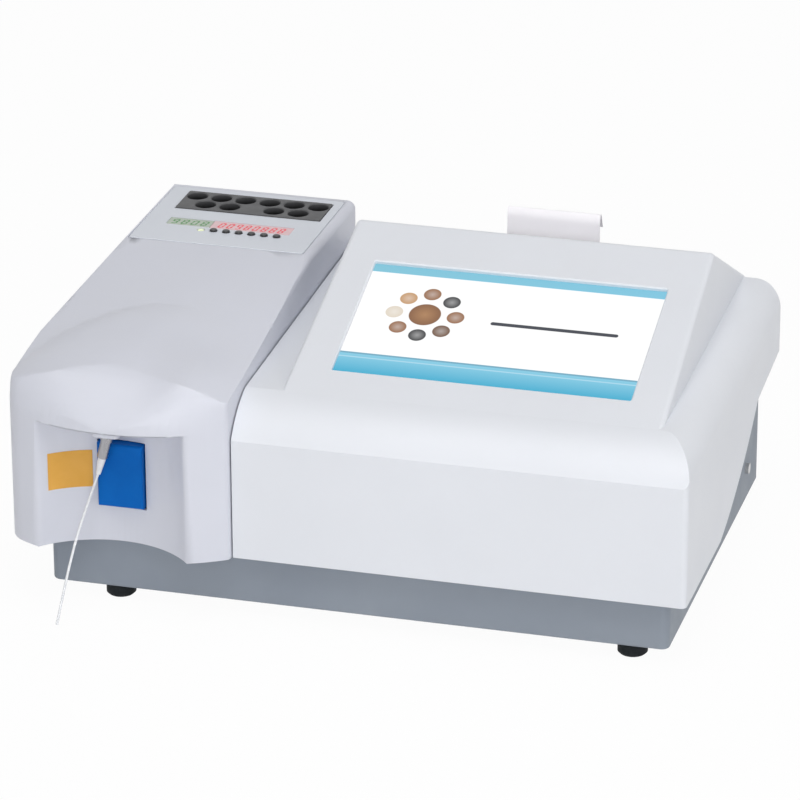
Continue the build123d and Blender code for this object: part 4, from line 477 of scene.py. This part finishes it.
def makeScreen(look):
    bars, rule = look["bars"], look["rule"]
    material, tree, shader = newMaterial("litScreen", Emission_Strength=look["glow"],
                                         Specular_IOR_Level=look["specular"])
    vector = objectVector(tree, look["centre"], (math.radians(look["tilt"]), 0, 0))
    place = splitVector(tree, vector)
    halfWidth, halfHeight = look["half"]
    barHalf = halfWidth * look["overlap"]

    def bar(centre, half, corner=0.0):
        return useGroup(tree, barGroup, Vector=vector, Centre=(*centre, 0), HalfSize=(*half, 0),
                        Corner=corner, Soft=look["soft"])["Mask"]

    colour = addWheel(tree, look["white"], vector, look["soft"], look["wheel"])
    ruleMask = bar(rule["centre"], rule["half"], rule["half"][1])
    colour = blendColours(tree, ruleMask, colour, rule["tone"])

    topHalf = bars["topHeight"] / 2
    along = spread(tree, place["X"], -halfWidth, halfWidth, 0.0, 1.0)
    topTone = blendColours(tree, along, bars["topLeft"], bars["topRight"])
    colour = blendColours(tree, bar((0, halfHeight - topHalf), (barHalf, topHalf)), colour, topTone)

    lowHalf = bars["lowHeight"] / 2
    lowEdge = -halfHeight + bars["lowHeight"]
    upward = spread(tree, place["Y"], -halfHeight, lowEdge, 0.0, 1.0)
    lowTone = blendColours(tree, upward, bars["lowBottom"], bars["lowTop"])
    colour = blendColours(tree, bar((0, -halfHeight + lowHalf), (barHalf, lowHalf)), colour, lowTone)
    colour = blendColours(tree, bar((0, lowEdge), (barHalf, bars["rimHalf"])), colour, bars["rim"])
    sheen = bar((0, lowEdge - bars["sheenDrop"]), (barHalf, bars["sheenHalf"]))
    colour = blendColours(tree, calc(tree, "MULTIPLY", sheen, bars["sheenShare"]), colour, bars["sheen"])

    feed(tree, shader.inputs["Emission Color"], colour)
    feed(tree, shader.inputs["Base Color"], blendColours(tree, look["unlitShare"], colour, look["unlit"]))
    smudges = spread(tree, noise(tree, vector, *look["smudges"]), *look["smudgeEdges"], *look["gloss"])
    feed(tree, shader.inputs["Roughness"], smudges)
    return material


finishes["litScreen"] = makeScreen(screenSettings)
slotFinish["screen_glass"] = "litScreen"


# Slanted figures of seven bars in a row, each bar lit or dark by chance
figureSettings = {
    "seed": 7.3,
    "middleLit": 0.75,               # share of the figures with their middle bar lit
    "footDark": 0.3,                 # share of them with their lower left bar dark
    "shortBar": 0.78,                # length of the bars, as a share of their room
    "tallBar": 0.82,
    "corner": 0.0001,
    "soft": 0.00015,
}


def makeFigureGroup(look):
    group, start, end = newGroup(
        "slanted figures",
        [("Vector", "vector"), ("Pitch", "value"), ("Width", "value"), ("Height", "value"),
         ("Stroke", "value"), ("Slant", "value")],
        [("Mask", "value")])
    place = splitVector(group, start["Vector"])
    upright = calc(group, "SUBTRACT", place["X"], calc(group, "MULTIPLY", place["Y"], start["Slant"]))
    cell = calc(group, "FLOOR", calc(group, "DIVIDE", upright, start["Pitch"]))
    middle = calc(group, "MULTIPLY", calc(group, "ADD", cell, 0.5), start["Pitch"])
    within = addNode(group, "ShaderNodeCombineXYZ")
    feed(group, within.inputs[0], calc(group, "SUBTRACT", upright, middle))
    feed(group, within.inputs[1], place["Y"])
    chance = addNode(group, "ShaderNodeTexWhiteNoise", noise_dimensions="1D")
    feed(group, chance.inputs["W"], calc(group, "ADD", cell, look["seed"]))
    draw = chance.outputs["Value"]
    halfStroke = calc(group, "MULTIPLY", start["Stroke"], 0.5)
    sideX = calc(group, "SUBTRACT", calc(group, "MULTIPLY", start["Width"], 0.5), halfStroke)
    levelY = calc(group, "SUBTRACT", calc(group, "MULTIPLY", start["Height"], 0.5), halfStroke)
    quarterY = calc(group, "MULTIPLY", levelY, 0.5)
    short = calc(group, "MULTIPLY", sideX, look["shortBar"])
    tall = calc(group, "MULTIPLY", quarterY, look["tallBar"])
    middleLit = calc(group, "LESS_THAN", draw, look["middleLit"])
    footLit = calc(group, "GREATER_THAN", draw, look["footDark"])
    bars = {(0, 1): 1.0, (0, 0): middleLit, (0, -1): 1.0, (1, 1): 1.0, (1, -1): 1.0, (-1, 1): 1.0,
            (-1, -1): footLit}      # how lit each bar is, by its side and level
    total = 0.0
    for (side, level), lit in bars.items():
        centre = addNode(group, "ShaderNodeCombineXYZ")
        half = addNode(group, "ShaderNodeCombineXYZ")
        feed(group, centre.inputs[0], calc(group, "MULTIPLY", sideX, float(side)))
        feed(group, centre.inputs[1], calc(group, "MULTIPLY", quarterY if side else levelY, float(level)))
        feed(group, half.inputs[0], halfStroke if side else short)
        feed(group, half.inputs[1], tall if side else halfStroke)
        mask = useGroup(group, barGroup, Vector=within.outputs[0], Centre=centre.outputs[0],
                        HalfSize=half.outputs[0], Corner=look["corner"], Soft=look["soft"])["Mask"]
        total = calc(group, "ADD", total, calc(group, "MULTIPLY", mask, lit), clamp=True)
    feed(group, end["Mask"], total)
    return group


figureGroup = makeFigureGroup(figureSettings)


# The two small windows that show them
windowSettings = {
    "temperature_display": {"name": "greenWindow", "back": (0.42, 0.50, 0.40), "figure": (0.02, 0.16, 0.03),
                            "pitch": 0.0062, "glow": (0.10, 0.20, 0.08)},
    "timer_display": {"name": "redWindow", "back": (0.80, 0.52, 0.55), "figure": (0.70, 0.02, 0.05),
                      "pitch": 0.0054, "glow": (0.35, 0.08, 0.08)},
}
windowGlass = {
    "figureWidth": 0.66,             # of the pitch
    "figureHeight": 0.66,            # of the window
    "stroke": 0.0011,
    "slant": 0.18,
    "corner": 0.0005,
    "soft": 0.0002,
    "clouds": (160.0, 2.0),
    "cloudDark": 0.9,
    "dark": (0.05, 0.05, 0.05),
    "glow": 0.35,
    "smudges": (60.0, 3.0),
    "edges": (0.3, 0.7),
    "gloss": (0.12, 0.24),
}


def makeWindow(node, look, glass):
    low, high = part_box(node)
    centre = ((low[0] + high[0]) / 2, (low[1] + high[1]) / 2, high[2])
    width, height = high[0] - low[0], high[1] - low[1]
    pitch = look["pitch"]
    fieldHalf = math.floor(width / pitch / 2) * pitch      # whole figures only
    material, tree, shader = newMaterial(look["name"], Emission_Strength=glass["glow"])
    vector = objectVector(tree, centre)
    figures = useGroup(tree, figureGroup, Vector=vector, Pitch=pitch, Stroke=glass["stroke"],
                       Width=pitch * glass["figureWidth"], Height=height * glass["figureHeight"],
                       Slant=glass["slant"])["Mask"]
    field = useGroup(tree, barGroup, Vector=vector, Centre=(0, 0, 0), HalfSize=(fieldHalf, height / 2, 0),
                     Corner=glass["corner"], Soft=glass["soft"])["Mask"]
    shown = calc(tree, "MULTIPLY", figures, field)
    clouded = spread(tree, noise(tree, vector, *glass["clouds"]), *glass["edges"], 0.0, 1.0)
    darker = tuple(glass["cloudDark"] * part for part in look["back"])
    backTone = blendColours(tree, clouded, look["back"], darker)
    smudges = spread(tree, noise(tree, vector, *glass["smudges"]), *glass["edges"], *glass["gloss"])
    feed(tree, shader.inputs["Base Color"], blendColours(tree, shown, backTone, look["figure"]))
    feed(tree, shader.inputs["Emission Color"], blendColours(tree, shown, glass["dark"], look["glow"]))
    feed(tree, shader.inputs["Roughness"], smudges)
    return material


# Nodes that don't take their slot's finish; the reader cover and the nozzle mount take a darker copy of the
# white shell, which is painted shade
nodeFinish = {"reader_cover": "shadedReaderShell", "nozzle_mount": "shadedReaderShell",
              "aspiration_nozzle": "nozzleMetal"}
for node, look in windowSettings.items():
    finishes[look["name"]] = makeWindow(node, look, windowGlass)
    nodeFinish[node] = look["name"]


# Well block: dark grey on top, with painted shade that turns its wells nearly black further down
blockSettings = {
    "tone": (0.085, 0.086, 0.09), "second": (0.115, 0.116, 0.12), "clouds": 45.0,
    "gloss": (0.4, 0.55), "grain": 1600.0, "bump": 0.25, "depth": 0.0001, "specular": 0.25,
    "paintedWellShade": (0.004, 0.004, 0.0045),
    "mouth": 0.0004, "dark": 0.005,      # depths between which the painted shade turns a well black
}


def makeBlock(look):
    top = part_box("incubator_block")[1][2]
    material, tree, shader = newMaterial("wellBlock", Specular_IOR_Level=look["specular"])
    vector = objectVector(tree)
    skin = useSkin(tree, vector, look)
    place = splitVector(tree, vector)
    # painted shade: below the top, the wells turn nearly black
    wellShadeMask = spread(tree, place["Z"], top - look["dark"], top - look["mouth"], 1.0, 0.0)
    feed(tree, shader.inputs["Base Color"], blendColours(tree, wellShadeMask, skin["Color"], look["paintedWellShade"]))
    feed(tree, shader.inputs["Roughness"], skin["Roughness"])
    addBump(tree, shader, skin["Height"], look)
    return material


finishes["wellBlock"] = makeBlock(blockSettings)
nodeFinish["incubator_block"] = "wellBlock"


# Status lamp: a pale lens, brighter in its middle
lensSettings = {
    "hotRadius": 0.0025,
    "glow": 0.55,
    "glowRim": (0.55, 0.60, 0.30),
    "glowMiddle": (1.0, 1.0, 0.85),
    "rim": (0.70, 0.74, 0.55),
    "middle": (0.9, 0.92, 0.8),
    "grain": 900.0,
    "edges": (0.3, 0.7),
    "gloss": (0.12, 0.22),
}


def makeLens(look):
    low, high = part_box("status_lamp")
    centre = [(a + b) / 2 for a, b in zip(low, high)]
    material, tree, shader = newMaterial("lampLens", Emission_Strength=look["glow"])
    vector = objectVector(tree, centre)
    away = addNode(tree, "ShaderNodeVectorMath", operation="LENGTH")
    feed(tree, away.inputs[0], vector)
    hot = spread(tree, away.outputs["Value"], 0.0, look["hotRadius"], 1.0, 0.0)
    glow = blendColours(tree, hot, look["glowRim"], look["glowMiddle"])
    feed(tree, shader.inputs["Emission Color"], glow)
    feed(tree, shader.inputs["Base Color"], blendColours(tree, hot, look["rim"], look["middle"]))
    gloss = spread(tree, noise(tree, vector, look["grain"]), *look["edges"], *look["gloss"])
    feed(tree, shader.inputs["Roughness"], gloss)
    return material


finishes["lampLens"] = makeLens(lensSettings)
slotFinish["lamp_green"] = "lampLens"


# Clear plastic of the tip and the sample tube: milky, with faint clouds in it
clearSettings = {
    "transmission": 0.12,
    "refraction": 1.42,
    "tone": (0.84, 0.86, 0.89),
    "second": (0.92, 0.93, 0.95),
    "clouds": (260.0, 3.0),
    "edges": (0.35, 0.65),
    "gloss": (0.15, 0.3),
}


def makeClear(look):
    material, tree, shader = newMaterial("milkyTube", Transmission_Weight=look["transmission"],
                                         IOR=look["refraction"])
    vector = objectVector(tree)
    clouds = spread(tree, noise(tree, vector, *look["clouds"]), *look["edges"], 0.0, 1.0)
    tone = blendColours(tree, clouds, look["tone"], look["second"])
    feed(tree, shader.inputs["Base Color"], tone)
    feed(tree, shader.inputs["Roughness"], spread(tree, clouds, 0.0, 1.0, *look["gloss"]))
    return material


finishes["milkyTube"] = makeClear(clearSettings)
slotFinish["clear_plastic"] = "milkyTube"
print("display, windows, well block, lamp and clear plastic made")


# Sample tube, hanging from the nozzle's tip and curving out of the recess to the bench
tubeSettings = {
    "route": [(-0.143953, -0.127, 0.088569), (-0.149653, -0.130, 0.070469), (-0.154853, -0.136, 0.052269),
              (-0.158953, -0.146, 0.027569), (-0.162053, -0.1554, 0.0029)],
    "radius": 0.00075,
    "length": 0.0925,
    "roundness": 5,                  # steps of the tube's section
    "steps": 24,                     # along each stretch of the route
    "order": 3,
}


def makeTube(settings):
    curve = bpy.data.curves.new("sampleTube", "CURVE")
    curve.dimensions = "3D"
    curve.bevel_depth = settings["radius"]
    curve.bevel_resolution = settings["roundness"]
    curve.resolution_u = settings["steps"]
    curve.use_fill_caps = True
    spline = curve.splines.new("NURBS")
    spline.points.add(len(settings["route"]) - 1)
    for point, place in zip(spline.points, settings["route"]):
        point.co = (*place, 1)
    spline.order_u = settings["order"]
    spline.use_endpoint_u = True
    tube = bpy.data.objects.new("sampleTube", curve)
    bpy.context.scene.collection.objects.link(tube)
    curve.materials.append(finishes["milkyTube"])
    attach(tube, "housing")
    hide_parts("aspiration_tube")


makeTube(tubeSettings)
print("sample tube laid")

# Each CAD piece takes the finish that its slot in the record names
for name, node in nodes.items():
    for slot in node.material_slots:
        finish = nodeFinish.get(name) or slotFinish.get(slot.material.name.split(".")[0], "darkPlastic")
        slot.material = finishes[finish]
print("pieces dressed")


# Nose of the reader cover: the moulding's own mesh, raised into a low dome behind its leaning front
noseSettings = {
    "region": ((-0.202, -0.066), (-0.146, 0.046), (0.1215, 0.158)),      # from and to, along x, y and z
    "step": 0.0055,                  # between the cuts through the region
    "margin": 0.001,
    "cutWithin": 0.00002,            # points this near a cut count as on it
    "mergeWithin": 0.00001,
    "faceLow": 0.124,                # heights between which the shaping comes in
    "faceHigh": 0.143,
    "brow": -0.126,                  # where the slope turns into the front face
    "sharpAngle": 28,                # degrees
    "dome": {
        "centre": (-0.150, -0.100),
        "half": (0.048, 0.070),
        "skew": 0.35,
        "lift": 0.0047,
        "edge": 4.0,                 # how soon the dome is at its height, from its edge inwards
        "edgeRight": 2.4,            # how much of that is taken off on its right
        "rightFrom": -0.02,
        "rightTo": 0.03,
        "spread": 0.030,             # how much wider the dome is to the right, at the brow
        "spreadFrom": 0.05,          # where that begins, in front of the middle
    },
    "lean": {
        "depth": 0.008,              # how far the front face's upper edge stands back
        "centre": -0.138,
        "half": (0.080, 0.070),      # to the left and to the right
        "edge": 4,
        "ahead": 0.006,              # how far in front of the brow it is whole
        "end": -0.085,               # where it has died away, along y
    },
    "shoulder": {
        "centre": -0.088,
        "half": 0.032,
        "lift": 0.005,
        "end": -0.060,
    },
}


def smooth(value, low, high):
    part = min(max((value - low) / (high - low), 0.0), 1.0)
    return part * part * (3 - 2 * part)


# Cuts in three directions give the long flat faces enough points to be shaped
def cutRegion(sheet, settings):
    region, margin = settings["region"], settings["margin"]

    def inside(face):
        return all(any(low - margin <= vert.co[axis] for vert in face.verts) and
                   any(vert.co[axis] <= high + margin for vert in face.verts)
                   for axis, (low, high) in enumerate(region))

    for axis, (low, high) in enumerate(region):
        normal = [0.0, 0.0, 0.0]
        normal[axis] = 1.0
        for count in range(int(round((high - low) / settings["step"])) + 1):
            place = [0.0, 0.0, 0.0]
            place[axis] = low + count * settings["step"]
            faces = [face for face in sheet.faces if inside(face)]
            edges = list({edge for face in faces for edge in face.edges})
            verts = list({vert for face in faces for vert in face.verts})
            bmesh.ops.bisect_plane(sheet, geom=verts + edges + faces, plane_co=place, plane_no=normal,
                                   dist=settings["cutWithin"])


def domeLift(x, y, brow, dome):
    centre, half = dome["centre"], dome["half"]
    along = max(y, brow)
    level = x - centre[0] - dome["skew"] * (along - centre[1])
    wide = dome["spread"] * smooth(-along, dome["spreadFrom"], -brow) if level > 0 else 0.0
    reach = math.hypot(level / (half[0] + wide), (along - centre[1]) / half[1])
    edge = dome["edge"] - dome["edgeRight"] * smooth(level, dome["rightFrom"], dome["rightTo"])
    return dome["lift"] * max(0.0, 1 - min(reach, 1.0) ** edge)


def shoulderLift(x, y, brow, shoulder):
    across = 1 - smooth(abs(x - shoulder["centre"]), 0.0, shoulder["half"])
    return shoulder["lift"] * across * (1 - smooth(y, brow, shoulder["end"]))


def browLean(x, y, brow, lean):
    side = x - lean["centre"]
    across = abs(side) / lean["half"][0 if side < 0 else 1]
    back = 1 - smooth(y, brow - lean["ahead"], lean["end"])
    return lean["depth"] * max(0.0, 1 - min(across, 1.0) ** lean["edge"]) * back


def makeNose(settings):
    source = nodes["reader_cover"]
    nose = source.copy()
    nose.data = source.data.copy()
    nose.name = nose.data.name = "readerNose"
    bpy.context.scene.collection.objects.link(nose)
    sheet = bmesh.new()
    sheet.from_mesh(nose.data)
    bmesh.ops.remove_doubles(sheet, verts=sheet.verts, dist=settings["mergeWithin"])
    cutRegion(sheet, settings)
    brow = settings["brow"]
    for vert in sheet.verts:
        x, y, z = vert.co
        height = smooth(z, settings["faceLow"], settings["faceHigh"])
        lift = domeLift(x, y, brow, settings["dome"]) + shoulderLift(x, y, brow, settings["shoulder"])
        vert.co.z = z + lift * height
        vert.co.y = y + browLean(x, y, brow, settings["lean"]) * height
    print("nose faces:", len(sheet.faces))
    sheet.to_mesh(nose.data)
    sheet.free()
    bpy.ops.object.select_all(action="DESELECT")
    bpy.context.view_layer.objects.active = nose
    nose.select_set(True)
    bpy.ops.object.shade_smooth_by_angle(angle=math.radians(settings["sharpAngle"]))
    bpy.ops.object.modifier_add(type="WEIGHTED_NORMAL")
    nose.modifiers[0].keep_sharp = True
    bpy.ops.object.modifier_apply(modifier=nose.modifiers[0].name)
    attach(nose, "housing")
    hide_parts("reader_cover")


makeNose(noseSettings)
print("nose shaped")


# White floor and surroundings
stageSettings = {
    "size": 12.0,
    "tone": (0.86, 0.86, 0.87),
    "second": (0.88, 0.88, 0.88),
    "clouds": (3.0, 2.0),
    "roughness": 0.7,
    "seenWhite": 0.96,               # how much of the floor the camera sees as plain white
    "roomLight": 0.3,
    "seenRoom": 1.0,
}


# 1 for what the camera, metal and glass see, 0 for light that falls on the object
def seenDirectly(tree):
    path = addNode(tree, "ShaderNodeLightPath")
    seen = calc(tree, "MAXIMUM", path.outputs["Is Camera Ray"], path.outputs["Is Glossy Ray"])
    return calc(tree, "MAXIMUM", seen, path.outputs["Is Transmission Ray"])


def makeFloor(settings):
    bpy.ops.object.select_all(action="DESELECT")
    bpy.ops.mesh.primitive_plane_add(size=settings["size"], location=(0, 0, 0))
    floor = bpy.context.active_object
    floor.name = "benchTop"
    material, tree, shader = newMaterial("benchWhite", Roughness=settings["roughness"])
    clouds = noise(tree, objectVector(tree), *settings["clouds"])
    tone = blendColours(tree, clouds, settings["tone"], settings["second"])
    feed(tree, shader.inputs["Base Color"], tone)
    glow = addNode(tree, "ShaderNodeEmission")
    glow.inputs["Strength"].default_value = 1.0
    glow.inputs["Color"].default_value = (1, 1, 1, 1)
    mixing = addNode(tree, "ShaderNodeMixShader")
    feed(tree, mixing.inputs[0], calc(tree, "MULTIPLY", seenDirectly(tree), settings["seenWhite"]))
    tree.links.new(shader.outputs[0], mixing.inputs[1])
    tree.links.new(glow.outputs[0], mixing.inputs[2])
    tree.links.new(mixing.outputs[0], tree.nodes["Material Output"].inputs["Surface"])
    floor.data.materials.append(material)


def makeRoom(settings):
    world = bpy.data.worlds.new("soft room")
    world.use_nodes = True
    bpy.context.scene.world = world
    tree = world.node_tree
    background = tree.nodes["Background"]
    background.inputs["Color"].default_value = (1, 1, 1, 1)
    strength = spread(tree, seenDirectly(tree), 0.0, 1.0, settings["roomLight"], settings["seenRoom"])
    feed(tree, background.inputs["Strength"], strength)


# Soft light from the front, from above and from the right
lightSettings = [
    {"name": "front", "place": (0.25, -2.3, 0.75), "size": 1.4, "power": 17.0},
    {"name": "top", "place": (0.2, -0.8, 2.4), "size": 1.4, "power": 25.0},
    {"name": "right", "place": (2.2, -0.6, 1.1), "size": 1.4, "power": 12.5},
]
lightAim = (0, 0, 0.1)


def makeLights(lights, aim):
    for settings in lights:
        light = bpy.data.lights.new(settings["name"], "AREA")
        light.shape = "SQUARE"
        light.size = settings["size"]
        light.energy = settings["power"]
        holder = bpy.data.objects.new(settings["name"], light)
        bpy.context.scene.collection.objects.link(holder)
        holder.location = settings["place"]
        ray = Vector(aim) - Vector(settings["place"])
        holder.rotation_euler = ray.to_track_quat("-Z", "Y").to_euler()


makeFloor(stageSettings)
makeRoom(stageSettings)
makeLights(lightSettings, lightAim)
bpy.context.scene.view_settings.view_transform = "Standard"
print("floor, room and lights set")
